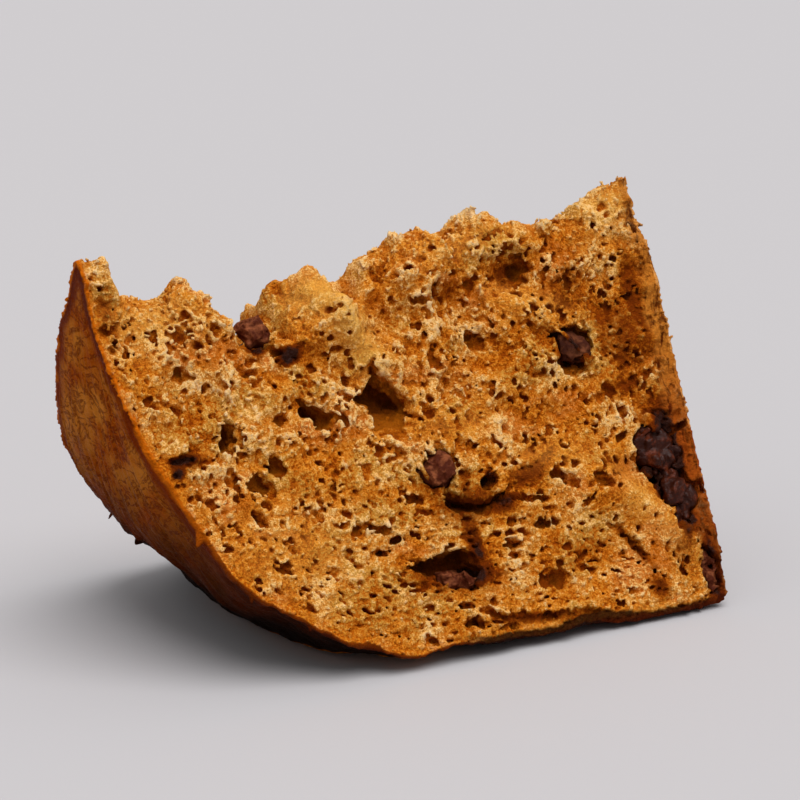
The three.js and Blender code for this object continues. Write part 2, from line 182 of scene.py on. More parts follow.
def makeCrustLift():
    x = gridX[:, None]
    angle = angleAxis[None, :]
    turn = np.radians(angle)
    lift = crust["wave"] * (np.sin(x * 0.21 + turn * 5) + 0.7 * np.sin(x * 0.37 - turn * 8 + 1))
    for atX, atAngle, spreadX, spreadAngle, height in crustForms:
        lift = lift + height * np.exp(-((x - atX) / spreadX) ** 2 - ((angle - atAngle) / spreadAngle) ** 2)
    degreesPerMm = 180 / math.pi / loaf["radius"]
    streaks = flatNoise(gridX, angleAxis, 5.0, 0.8 * degreesPerMm, 21)
    patches = flatNoise(gridX, angleAxis, 6.0, 5.0 * degreesPerMm, 22)
    grain = flatNoise(gridX, angleAxis, 1.1, 1.1 * degreesPerMm, 23)
    lift = lift + crust["streak"] * streaks + crust["patch"] * np.minimum(patches, crust["patchMost"])
    return lift + crust["grain"] * grain


# broad hills and hollows of the faces: along the loaf, below the axis, spreads, tilt, lift
frontForms = [
    (-41, 11, 7, 6, 0, 1.5), (-13, 15, 6, 9, 0, 3.2), (-8, 26, 3.5, 8, -25, 1.8),
    (5, 13, 8, 6, 0, 2.6), (11, 22, 2.8, 9, 0, 2.0), (18, 9, 7, 5, 0, 3.0), (34, 11, 8, 4, 0, 2.2),
    (31, 25, 11, 2.5, 28, 2.2), (49, 69, 14, 4, 45, 2.8), (-32, 23, 5, 6, 0, -3.5),
    (18, 19, 4.5, 4.5, 0, -2.5), (32, 17, 5, 4, 0, -2.5), (20, 31, 6, 6, 0, -2.2),
    (13, 40, 9, 6, 0, -1.5), (51, 26, 6, 8, 0, -1.0), (38, 74, 9, 5, 0, -1.8), (29, 81, 9, 4, 0, -1.2),
    (-53, 16, 4, 5, 0, -1.8), (-9.5, 20, 11, 3, 63, 1.6), (-1, 21, 4, 5, 0, -1.6),
]
backForms = [
    (-42, 18, 8, 7, 0, 2.4), (-20, 26, 5, 12, 30, 2.2), (4, 14, 9, 6, 0, 2.6),
    (27, 22, 4, 11, -35, 2.4), (46, 40, 7, 9, 0, 1.6), (10, 62, 16, 5, 20, 1.8),
    (-30, 34, 7, 6, 0, -2.6), (-8, 42, 8, 6, 0, -2.2), (36, 14, 6, 5, 0, -2.4),
    (30, 56, 9, 5, -15, -2.0), (-14, 70, 10, 4, 0, -1.4), (50, 72, 6, 7, 0, -1.6),
]
# how torn a face is: the parts near the axis are pulled apart, the parts near the crust are cut
torn = {"cutBelow": 60, "tornAbove": 34, "least": 0.22, "lumps": 0.9, "crags": 0.55, "coarse": 0.45}


def tornShare(down):
    return torn["least"] + (1 - torn["least"]) * smoothStep(-down, -torn["cutBelow"], -torn["tornAbove"])


def tiltedSpot(x, down, atX, atDown, spreadX, spreadDown, tilt):
    # 1 at the middle of an oval spot on a face, fading to 0 around it
    c, s = math.cos(math.radians(tilt)), math.sin(math.radians(tilt))
    along = ((x - atX) * c + (down - atDown) * s) / spreadX
    across = ((down - atDown) * c - (x - atX) * s) / spreadDown
    return np.exp(-along ** 2 - across ** 2)


def spotForms(forms, x, down):
    # the strongest of several soft spots at each place
    total = 0
    for *spot, strength in forms:
        total = np.maximum(total, strength * tiltedSpot(x, down, *spot))
    return total


def broadForms(forms, x, down):
    # several hills and hollows added up
    lift = 0
    for *spot, height in forms:
        lift = lift + height * tiltedSpot(x, down, *spot)
    return lift


def makeFaceLift(forms, seed):
    share = tornShare(downAxis)[None, :]
    lift = broadForms(forms, gridX[:, None], downAxis[None, :])
    lumps = flatNoise(gridX, downAxis, 7.0, 6.0, seed)
    crags = flatNoise(gridX, downAxis, 3.2, 2.6, seed + 1)
    return lift + share * (torn["lumps"] * lumps + torn["crags"] * crags)


# the torn edge: place along the loaf, depth below the axis, and how it falls to the front and back
tearLine = [
    (-66, 1), (-60, 0.6), (-56.2, 0.8), (-53.2, 11), (-47, 13.2), (-43.5, 12), (-40.5, 9.6),
    (-36.5, 12.2), (-33, 15), (-30.5, 21), (-25.6, 23.4), (-21.2, 21.6), (-18.4, 16), (-14.5, 12.6),
    (-10.5, 11.2), (-8, 14.5), (-4.5, 15.8), (-1, 12.2), (10, 5.8), (15, 6.2), (18.5, 8.4), (22, 8),
    (26.5, 3.4), (29, 3.8), (34, 6.5), (43, 9), (48.5, 8.4), (51.5, 5.8), (58, 1.6), (66, 0),
]
tear = {
    "front": 0.1, "back": 0.5, "tip": 1.6, "tipStart": -46, "tipEnd": -60, "lumps": 0.9, "crags": 0.8,
    "steep": 0.8, "coarse": 0.8, "blend": 2.5,
}


def tearDepth(x):
    places = np.array([p for p, _ in tearLine], float)
    depths = np.array([d for _, d in tearLine], float)
    i = np.clip(np.searchsorted(places, x, side="right") - 1, 0, len(places) - 2)
    share = smoothStep(x, places[i], places[i + 1])
    return depths[i] * (1 - share) + depths[i + 1] * share


def makeTearHeight():
    # height of the torn top over x and y, measured from the axis
    x = gridX[:, None]
    y = gridY[None, :]
    atTip = smoothStep(-x, -tear["tipStart"], -tear["tipEnd"])
    backSlope = tear["back"] + (tear["tip"] - tear["back"]) * atTip
    fall = np.where(y > 0, backSlope * y, -tear["front"] * y)
    lumps = flatNoise(gridX, gridY, 4.5, 4.5, 41)
    crags = flatNoise(gridX, gridY, 1.9, 2.4, 42)
    return tear["lumps"] * lumps + tear["crags"] * crags - tearDepth(gridX)[:, None] - fall


# large cavities of the front: depth, how far the deep end lies higher than the mouth, how fast the walls
# close in, the share of depth left at the low end, and the mouth's outline (along the loaf, below the axis)
hollows = [
    (8.5, 0.25, 0.2, 0.1, [
        (-4.3, 30.5), (-2.4, 33.1), (-0.1, 36.6), (2.8, 39.5), (3.4, 43.3), (2.2, 46.4), (-1, 47.4),
        (-5, 46.8), (-8, 44.2), (-8.1, 40.4), (-9.4, 37.3), (-6.8, 35.3), (-5.5, 32.8)]),
    (6.5, 0.2, 0.25, 0.25, [
        (-22, 35.6), (-19.4, 36.8), (-16.7, 38.2), (-14.7, 40.3), (-15.9, 43.4), (-18.5, 43.2),
        (-20.5, 41.5), (-22.4, 39.1)]),
    (7.5, 0.1, 0.12, 0.8, [
        (-38.6, 36.9), (-36.4, 39.6), (-36, 41.8), (-37.6, 43.2), (-39.1, 44.9), (-41.2, 42.7),
        (-40.3, 40.1), (-39.2, 38.1)]),
    (2.6, 0.1, 0.5, 0.5, [
        (-28.9, 37), (-25.5, 37.5), (-24.1, 40.5), (-25.1, 43), (-27.9, 42.6), (-30.4, 39.5)]),
    (6.5, 0.15, 0.2, 0.5, [
        (4.9, 59.8), (7.2, 59.9), (11.2, 61.3), (15.2, 60.9), (21.8, 59.6), (19.3, 62.6), (16.8, 64.1),
        (13.4, 64.8), (10.5, 64.3), (6.9, 64.8), (5.2, 63.2)]),
    (7, 0.15, 0.2, 0.45, [
        (-8.2, 71.4), (-5.2, 71.1), (1.3, 70.6), (4.3, 71.2), (8.4, 71.2), (8.7, 73.6), (9.9, 75.6),
        (9.7, 77.8), (6.8, 77.8), (3.5, 78.3), (1.6, 78.1), (-1.5, 75.3), (-4.9, 73.8)]),
    (4.5, 0.1, 0.1, 0.8, [
        (2.5, 85.5), (4.1, 84.4), (5.8, 84.1), (7.7, 85.3), (8.4, 86.9), (6.8, 87.6), (4.6, 87.5),
        (3.1, 86.9)]),
    (5.5, 0.1, 0.1, 0.6, [
        (35.4, 30.3), (39.5, 30), (42.3, 29.8), (43.8, 30.6), (46.6, 31.4), (46.9, 34), (45.2, 37.3),
        (44.5, 38.9), (41.5, 40.3), (38.7, 39.8), (38.5, 37.2), (38, 34.6), (36.4, 32.6)]),
    (4.5, 0, 0.15, 0.8, [
        (-29.8, 21), (-28.2, 19), (-26.9, 16.4), (-25.4, 15.6), (-23, 16.6), (-21.8, 18.4),
        (-23, 20.6), (-24.6, 23), (-26.4, 25), (-28.3, 25.6), (-29.6, 23.7)]),
    (3.4, 0, 0.3, 0.7, [
        (56, 50), (60.6, 50.6), (61, 56.6), (61, 61.5), (61.6, 66), (60.6, 72.1), (58.6, 76),
        (56, 75.4), (54, 69), (52.4, 64.4), (50, 59.2), (52.5, 56.8), (54.6, 55.6)]),
    (2.6, 0.1, 0.3, 0.3, [
        (-14.7, 50.5), (-13, 49.1), (-10.1, 49.2), (-9, 50.8), (-9.9, 52.7), (-12.5, 52.5)]),
    (4, 0.2, 0.3, 0.3, [
        (30.9, 15.7), (32.9, 14.7), (35.5, 15.3), (36.5, 17.5), (34.7, 19.9), (32, 19.7)]),
    (3, 0.3, 0.3, 0.2, [
        (20.3, 17.3), (23.1, 17.2), (23.9, 20.3), (22.1, 22.4), (20, 21.1)]),
    (3.2, 0.3, 0.3, 0.15, [
        (18.2, 26.8), (21.8, 27.7), (23.9, 30.1), (25.6, 32.7), (22.8, 33.4), (19.6, 31.6)]),
    (4, 0.1, 0.1, 0.9, [
        (13.4, 57.9), (15.6, 56.2), (17.5, 56), (17.2, 58.2), (15.3, 59.6), (13.5, 59.2)]),
    (2.4, 0, 0.4, 0.8, [
        (6, 82), (11.3, 84), (19, 86), (27, 87.2), (34, 87.2), (34, 88.6), (27, 89), (19, 88),
        (11.3, 86.2), (6, 84.2)]),
]
hollowEdge = {"sway": 0.55, "floor": 0.3, "blend": 1.5, "out": 4.5}
# smaller cavities: place along the loaf and below the axis, half sizes (along, down, inward), tilt
frontPores = [
    (-30, 47.7, 1.7, 2.5, 3, 0), (-33.3, 51, 2.7, 1.9, 3, 35), (-12, 63.3, 4.5, 1.2, 2.6, 15),
    (-12, 67.8, 2.6, 1.1, 2.2, 10), (-1, 59, 2.2, 1.6, 2.6, 0), (26, 68.4, 3, 1.7, 3, 0),
    (26, 80, 4.2, 2.2, 2.4, 0), (-30.5, 28.6, 1.4, 1.2, 1.8, 0), (-17.5, 29.5, 1.2, 1.6, 1.8, 0),
    (10, 31, 2, 2.4, 2, 0), (12.5, 20, 1.8, 5, 2.4, -8), (44, 21, 1.6, 2.2, 2.4, 20),
    (-1, 13, 1.2, 1.2, 2, 0), (47, 45, 2.2, 1.6, 2.4, 30), (33, 60, 3.4, 1.3, 2.4, 20),
    (41, 62, 3.6, 1.6, 2.4, 28), (-46, 27, 1.6, 2.2, 2, 0), (45.6, 76.6, 6, 0.8, 1.8, 58),
    (11.5, 51, 3, 1.6, 1.2, 20), (26, 63, 3.4, 1.2, 2, 10), (20, 66.5, 2.6, 0.8, 1.6, 5),
    (0.4, 62.4, 2, 1.2, 2, 0), (-24.5, 25.2, 1.8, 1.2, 1.8, 30), (3.5, 13.4, 1.6, 1.2, 2.2, 0),
]
# smooth places of the front, where crumb grains and chance pores fade: place, spreads, tilt, share
calm = [
    (-9.5, 20, 13, 3.8, 63, 0.75), (49.5, 68.5, 13, 5.5, 58, 0.95), (-1, 21, 5, 5, 0, 0.5),
    (26, 46, 8, 5, 10, 0.4), (11, 49, 5, 3, 15, 0.7), (8, 20, 3, 8, 0, 0.4), (57, 10, 5, 6, 0, 0.3),
]
# crumb pores grown by chance: how many on each face, smallest and largest radius, how deep they reach
poreKinds = [
    {"front": 8, "back": 26, "least": 1.7, "most": 2.4, "deep": 1.6, "apart": 9.0, "skew": 2.0},
    {"front": 90, "back": 150, "least": 0.8, "most": 1.5, "deep": 0.9, "apart": 3.6, "skew": 2.6},
    {"front": 520, "back": 800, "least": 0.45, "most": 0.8, "deep": 0.9, "apart": 0, "skew": 2.2},
    {"front": 2600, "back": 2300, "least": 0.3, "most": 0.45, "deep": 0.7, "apart": 0, "skew": 1.0},
]
pores = {
    "sway": 0.5, "rough": 0.48, "coarseShare": 0.5, "fineShare": 0.8, "gritShare": 0.6, "skin": 0.45,
    "mouth": 0.25, "flatLeast": 0.3, "flatAbove": 34, "flatBelow": 78, "flatWiden": 0.42, "lean": 0.18,
    "smallFrom": 45, "smallTo": 85, "smallShare": 0.18, "seed": 71,
}
granules = {
    "wide": 0.27, "small": 0.36, "tornSmall": 0.14, "level": 0.3, "flatFrom": 38, "flatTo": 62,
    "flatShare": 0.8, "calmShare": 0.7, "onCrust": 0.12, "besideFace": 0.4,
}
# cell sizes of the noises that shape the crumb, in millimetres
noiseCells = {"broad": 4.6, "coarse": 2.3, "fine": 0.95, "grit": 0.46}

# chocolate: place on the face, half sizes (along, down, inward), how far sunk, turn
frontChunks = [
    (42.1, 33.8, 4.6, 4.1, 3.4, 1.8, 20), (4.5, 54.6, 4.2, 4, 3.6, 0.6, 50),
    (5.2, 76.4, 4.8, 2.5, 3.2, 2.6, 6), (-26.6, 20.6, 3.2, 3.9, 3, 2.3, -20),
    (56, 57.5, 3.6, 5, 3.6, 1.4, -18), (58.6, 68.6, 3.2, 5.2, 3.4, 1.6, -8),
    (61.4, 84.6, 2.1, 5.6, 2.8, 0.9, 2),
]
backChunks = [
    (-22, 47, 4, 3.8, 3.4, 0.8, 30), (21, 34, 3.6, 4.2, 3.2, 1, -35), (38, 67, 4.6, 3, 3.2, 1.4, 15),
]
meltedChunks = ("front_5", "front_6")
charredChunks = ("front_1",)
# the chocolate's colours; the russet one paints reddish highlights on the melted chocolate
chocolate = {
    "voxel": 0.2, "margin": 1.8, "power": 2.4, "size": 0.96,
    "warp": 0.85, "warpFrom": 3.2, "lump": 0.55, "crumble": 0.3, "grain": 0.2,
    "meltSize": 0.25, "meltLump": 0.95, "sunk": 1.0, "gap": 0.3, "funnel": 0.3,
    "color": (76, 28, 10), "bloom": (140, 78, 46), "melt": (48, 15, 4), "russetHighlight": (104, 42, 16),
    "char": (34, 20, 14), "charShare": 0.4, "rough": 0.6, "meltRough": 0.34, "shine": 0.08, "meltShine": 0.17,
}
# lumps of chocolate melted onto the crumb around the chunks: place, height out of the face, radius
meltedLumps = [
    (60.2, 53.4, -1.6, 1.7), (60.8, 57.6, -2.0, 1.6), (60.4, 61.4, -1.8, 1.7), (56.6, 63.6, -1.6, 1.6),
    (53.4, 62.4, -1.4, 1.3), (54.6, 66.6, -1.8, 1.4), (61.2, 65.8, -1.6, 1.4), (55.6, 71.2, -1.6, 1.3),
    (57.8, 75.2, -1.0, 1.4), (60.6, 74.2, -1.2, 1.3), (58.6, 51.8, -1.2, 1.2), (52.4, 58.8, -1.4, 1.2),
    (59.0, 62.6, -0.9, 1.1), (54.2, 60.8, -0.9, 0.9), (61.6, 69.8, -1.2, 1.2), (58.0, 77.6, -0.6, 0.9),
]
# crumb in front of the chocolate: places on the face, height out of it, radius at both ends
crumbBits = [
    [(38.2, 30.2, 0.1, 0.5), (39.2, 31.6, 0.9, 0.4), (40.4, 33.4, 1.2, 0.38), (42.0, 35.0, 1.1, 0.4),
     (43.4, 36.6, 0.9, 0.5)],
    [(43.4, 36.8, 0.5, 0.9), (44.2, 37.9, 0.7, 1.2), (45.5, 38.4, 0.3, 1.1), (44.7, 39.8, -0.2, 1.2)],
    [(0.6, 52.6, 0.2, 0.6), (1.0, 54.4, 0.9, 0.45), (1.5, 56.0, 1.1, 0.4), (2.8, 57.6, 0.6, 0.5)],
    [(13.4, 58.4, 0.1, 0.4), (15.2, 57.2, 0.3, 0.3), (17.6, 56.0, 0.1, 0.4)],
    [(54.6, 51.4, 0.0, 1.1), (55.8, 52.2, 0.5, 1.1), (54.9, 53.6, 0.5, 0.9), (56.4, 54.0, 0.9, 0.8),
     (57.2, 52.8, 0.6, 0.7)],
    [(-24.8, 23.2, 0.2, 0.8), (-23.2, 22.0, 0.4, 1.0)], [(8.2, 77.8, -0.2, 0.9), (9.6, 76.4, -0.4, 0.8)],
]


def facePoint(side, x, down, out):
    # a place on a face, in millimetres from the loaf's middle and the floor
    y = side * (down * sinHalf + out * cosHalf)
    z = loaf["axisHeight"] - down * cosHalf + out * sinHalf
    return np.stack([x, y, z], axis=-1)


def faceAxes(side, tilt):
    # rows: along the loaf, down the face and outward, with the first two turned by the tilt
    along = np.array([1.0, 0, 0])
    down = np.array([0, side * sinHalf, -cosHalf])
    out = np.array([0, side * cosHalf, sinHalf])
    c, s = math.cos(math.radians(tilt)), math.sin(math.radians(tilt))
    return np.array([along * c + down * s, down * c - along * s, out])


def gridBox(low, high):
    # the part of the grid between two corners in millimetres, as slices and places
    first = np.maximum(((low - gridStart) / voxel).astype(int), 0)
    last = np.minimum(((high - gridStart) / voxel).astype(int) + 2, gridShape)
    part = tuple(slice(i, j) for i, j in zip(first, last))
    return part, np.meshgrid(gridX[part[0]], gridY[part[1]], gridZ[part[2]], indexing="ij")


def alongAxes(places, centre, axes):
    # places measured from a centre, along each of three axes
    return [sum((place - at) * share for place, at, share in zip(places, centre, axis)) for axis in axes]


def stampPore(field, centre, axes, halves, warp):
    # one rounded pore, written over a box of the grid
    reach = max(halves) + 2
    part, places = gridBox(centre - reach, centre + reach)
    places = [place + pores["sway"] * turned[part] for place, turned in zip(places, warp)]
    local = alongAxes(places, centre, axes)
    scaled = np.sqrt(sum((side / half) ** 2 for side, half in zip(local, halves)))
    inside = (1 - scaled) * min(halves)
    np.maximum(field[part], inside, out=field[part])


def outlineDistance(x, down, outline):
    # distance outside a closed outline, negative inside
    nearest = np.full(x.shape, 1e6, np.float32)
    inside = np.zeros(x.shape, bool)
    for (ax, ay), (bx, by) in zip(outline, outline[1:] + outline[:1]):
        dx, dy = bx - ax, by - ay
        t = np.clip(((x - ax) * dx + (down - ay) * dy) / (dx * dx + dy * dy), 0, 1)
        nearest = np.minimum(nearest, (x - ax - t * dx) ** 2 + (down - ay - t * dy) ** 2)
        crosses = (ay > down) != (by > down)
        inside ^= crosses & (x < (down - ay) * dx / (dy if dy else 1e-6) + ax)
    return np.where(inside, -1, 1) * np.sqrt(nearest)


def stampHollow(field, side, hollow, lift, warp):
    # a cavity with a drawn mouth, whose floor slopes up towards its low end
    deep, lean, taper, shallow, outline = hollow
    mouth = np.array(outline)
    ends = [facePoint(side, mouth[:, 0], mouth[:, 1], out) for out in (-deep - 1, hollowEdge["out"])]
    corners = np.concatenate(ends)
    part, (x, y, z) = gridBox(corners.min(0) - 2, corners.max(0) + 2)
    below = loaf["axisHeight"] - z
    down = side * y * sinHalf + below * cosHalf + hollowEdge["sway"] * warp[1][part]
    out = side * y * cosHalf - below * sinHalf - liftAt(lift, x, down)
    x = x + hollowEdge["sway"] * warp[0][part]
    edge = outlineDistance(x, down - lean * out, outline)
    walls = -edge + taper * np.minimum(out, 0)
    top, bottom = mouth[:, 1].min(), mouth[:, 1].max()
    share = 1 - (1 - shallow) * smoothStep((down - top) / (bottom - top), 0.3, 1)
    floor = out + deep * share + hollowEdge["floor"] * warp[2][part]
    np.maximum(field[part], -softMax(-walls, -floor, hollowEdge["blend"]), out=field[part])


def stampMany(field, centres, radii, flats, normals):
    # many small pores at once: balls pressed flat by their share along their normals
    flatField = field.reshape(-1)
    steps = int(math.ceil(float(radii.max()) * 1.25 / voxel)) + 1
    span = np.arange(-steps, steps + 1)
    offsets = np.stack(np.meshgrid(span, span, span, indexing="ij"), axis=-1).reshape(-1, 3)
    batch = max(1, 3000000 // len(offsets))
    for first in range(0, len(centres), batch):
        centre = centres[first:first + batch]
        cell = np.round((centre - gridStart) / voxel).astype(int)
        index = cell[:, None, :] + offsets[None]
        away = (index * voxel + gridStart - centre[:, None, :]).astype(np.float32)
        normal = normals[first:first + batch, None, :]
        press = (away * normal).sum(-1)
        flat = flats[first:first + batch, None]
        length = np.sqrt((away * away).sum(-1) + press * press * (1 / flat ** 2 - 1))
        inside = (radii[first:first + batch, None] - length) * flat ** 0.5
        fits = ((index >= 0) & (index < np.array(gridShape))).all(-1) & (inside > -0.8)
        places = np.ravel_multi_index(tuple(index[fits].T), gridShape)
        np.maximum.at(flatField, places, inside[fits])


def spreadApart(points, apart):
    # keeps the points that have no earlier one near them
    taken = {}
    kept = []
    for number, point in enumerate(points):
        cell = (int(point[0] // apart), int(point[1] // apart))
        around = [taken.get((cell[0] + i, cell[1] + j), []) for i in (-1, 0, 1) for j in (-1, 0, 1)]
        if all(math.hypot(point[0] - q[0], point[1] - q[1]) >= apart for near in around for q in near):
            taken.setdefault(cell, []).append(point)
            kept.append(number)
    return np.array(kept, int)


def crustNormals(x, radius):
    # direction of the nearest crust in the plane of x and radius
    step = 0.5
    level = smoothLoaf(x, radius)
    slopeX = smoothLoaf(x + step, radius) - level
    slopeR = smoothLoaf(x, radius + step) - level
    size = np.maximum(np.hypot(slopeX, slopeR), 1e-4)
    return slopeX / size, slopeR / size


def growPores(field, side, lift, rng):
    for kind in poreKinds:
        wanted = kind["front"] if side < 0 else kind["back"]
        tries = wanted * (4 if kind["apart"] else 2)
        x = rng.uniform(domeX, loaf["baseX"], tries)
        down = rng.uniform(2, loaf["radius"] + 2, tries)
        inCrumb = smoothLoaf(x, down) < -(pores["skin"] + kind["most"] * 0.6)
        if side < 0:
            inCrumb &= rng.random(tries) > spotForms(calm, x, down)
        x, down = x[inCrumb], down[inCrumb]
        if kind["apart"]:
            kept = spreadApart(np.stack([x, down], -1), kind["apart"])
            x, down = x[kept], down[kept]
        x, down = x[:wanted], down[:wanted]
        count = len(x)
        radii = kind["least"] + (kind["most"] - kind["least"]) * rng.random(count) ** kind["skew"]
        fine = smoothStep(down, pores["smallFrom"], pores["smallTo"])
        radii = radii * (1 - pores["smallShare"] * fine)
        out = liftAt(lift, x, down) + pores["mouth"] - kind["deep"] * rng.random(count)
        flat = 1 - (1 - pores["flatLeast"]) * smoothStep(down, pores["flatAbove"], pores["flatBelow"])
        flat = np.clip(flat * rng.uniform(0.8, 1.3, count), 0.3, 1)
        normalX, normalR = crustNormals(x, down)
        lean = rng.normal(0, pores["lean"], (count, 2))
        normalY, normalZ = side * normalR * sinHalf, -normalR * cosHalf
        normal = np.stack([normalX + lean[:, 0], normalY, normalZ + lean[:, 1]], -1)
        normal /= np.linalg.norm(normal, axis=-1, keepdims=True)
        radii = radii / flat ** pores["flatWiden"]
        radii, flat, normal = (values.astype(np.float32) for values in (radii, flat, normal))
        stampMany(field, facePoint(side, x, down, out), radii, flat, normal)


# loose flakes of the crust: place along the loaf, angle around it, length, width, lean to the dome
crustFlakes = [
    (-54, 22, 4.4, 3.4, 62), (-55.5, 19, 3.8, 2.4, 78), (-46, 17, 5, 1.8, 30), (-40, 16, 3.6, 4, 48),
    (-62.5, 18, 3.2, 2.6, 60), (-49, -26, 3.4, 3, 35), (-40, -26, 3.2, 2.8, 20),
    (-6.5, -26.4, 3.2, 2.6, 0), (-52, 15, 2.4, 1.6, 40), (-43, 20, 2.6, 2.2, 30),
    (-30, -26, 2.2, 1.8, 10), (-57, 24, 2.4, 2, 50),
]
# flakes of the base's edge: angle around the loaf, distance from its axis, length, width, lean
baseFlakes = [
    (-26, 11, 4.4, 2.6, -76), (-24, 6, 2.8, 2.2, -62), (-26, 14.6, 3.6, 2.4, -84),
    (-26, 17.4, 3.0, 2.6, -80), (-25, 16, 3.2, 2.4, -86), (-26, 42, 2.6, 2.6, -80),
    (-26, 13.2, 2.6, 2.2, -70), (-26, 30, 2.2, 2.0, -88), (-26, 36, 2.0, 2.4, -80),
    (-26, 49, 2.4, 2.0, -84), (-26, 57, 2.2, 2.4, -80), (-26, 66, 2.6, 2.0, -78),
    (-26, 76, 2.2, 2.4, -84), (-26, 84, 2.0, 2.0, -80),
]


def domeRadius(x):
    power = loaf["domePower"]
    reach = np.clip((shoulderX - x) / loaf["domeDepth"], 0, 1)
    return wallRadius(x) * (1 - reach ** power) ** (1 / power)


def addFlake(field, x, angle, radius, long, wide, lean, warp):
    # a flat spike that stands out of the crust
    around, slope = math.radians(angle), math.radians(lean)
    radial = np.array([0, math.sin(around), -math.cos(around)])
    tangent = np.array([0, math.cos(around), math.sin(around)])
    along = np.array([1.0, 0, 0])
    tip = radial * math.cos(slope) - along * math.sin(slope)
    width = along * math.cos(slope) + radial * math.sin(slope)
    foot = along * x + radial * radius + np.array([0, 0, loaf["axisHeight"]]) - tip * 1.5
    part, places = gridBox(foot - long - 1, foot + long + 1)
    places = [place + 0.35 * turned[part] for place, turned in zip(places, warp)]
    reach, across, thick = alongAxes(places, foot, (tip, width, tangent))
    half = wide / 2 * np.clip(1 - reach / long, 0, 1) ** 0.7
    spike = np.maximum((np.hypot(across, thick * 2) - half) * 0.6, -reach)
    np.minimum(field[part], spike, out=field[part])


def liftAt(lift, x, down):
    # height of a face's relief at given places
    return readTable(lift, (gridX[0], downStart), voxel, x, down)


def seatAt(lift, x, down):
    # the same at one place
    return float(liftAt(lift, np.array([x]), np.array([down]))[0])


def growChunk(halves, seed, melted):
    # a rough block of chocolate in its own small grid, with the grid's step and start
    step = chocolate["voxel"]
    reach = [half + chocolate["margin"] for half in halves]
    spans = [np.arange(-far, far, step, dtype=np.float32) for far in reach]
    start = np.array([span[0] for span in spans])
    sides = np.meshgrid(*spans, indexing="ij")
    turned = [solidNoise(spans, 3.2, seed + 3 + number) for number in range(3)]
    warp = chocolate["warp"] * min(1, min(halves) / chocolate["warpFrom"])
    x, y, z = [(side + warp * turn) / half for side, turn, half in zip(sides, turned, halves)]
    power = 2.0 if melted else chocolate["power"]
    level = (np.abs(x) ** power + np.abs(y) ** power + np.abs(z) ** power) ** (1 / power)
    lump, crumble, grain = (np.abs(solidNoise(spans, cell, seed + number))
                            for number, cell in enumerate((1.7, 0.9, 0.5)))
    if melted:
        field = (level - 1.0) * min(halves) + chocolate["meltSize"] - chocolate["meltLump"] * lump
        field -= chocolate["crumble"] * crumble
    else:
        field = (level - chocolate["size"]) * min(halves) + chocolate["lump"] * lump
        field += chocolate["crumble"] * (crumble - 0.3) + chocolate["grain"] * (grain - 0.3)
    return field, step, start


def carvePocket(body, shell, chunk, funnel):
    # room for a chunk in the crumb, closely around its own form, or widening out of the face
    centre, halves = chunk["centre"], chunk["halves"]
    field, step, start = chunk["grown"]
    reach = max(halves) + 3.5
    part, places = gridBox(centre - reach, centre + reach)
    local = alongAxes(places, centre, chunk["axes"])
    if funnel:
        local[2] = np.where(local[2] > 0, local[2] * chocolate["funnel"], local[2])
    points = np.stack([side.ravel() for side in local], -1)
    pocket = chocolate["gap"] - readField(field, start, step, points).reshape(local[0].shape)
    pocket = np.minimum(pocket, -(shell[part] + 0.3))
    np.maximum(body[part], pocket, out=body[part])


def addBits(body, lift, bits, fine):
    # rounded bits joined onto the crumb, given as balls along short lines
    for line in bits:
        for first, second in zip(line, line[1:] + line[-1:]):
            steps = max(1, int(math.dist(first[:2], second[:2]) / 0.4))
            for number in range(steps):
                x, down, out, radius = [a + (b - a) * number / steps for a, b in zip(first, second)]
                centre = facePoint(-1, x, down, seatAt(lift, x, down) + out)
                part, places = gridBox(centre - radius - 1, centre + radius + 1)
                away = np.sqrt(sum((place - at) ** 2 for place, at in zip(places, centre)))
                ball = away - radius * (1.3 - 0.6 * np.abs(fine[part]))
                np.minimum(body[part], ball, out=body[part])


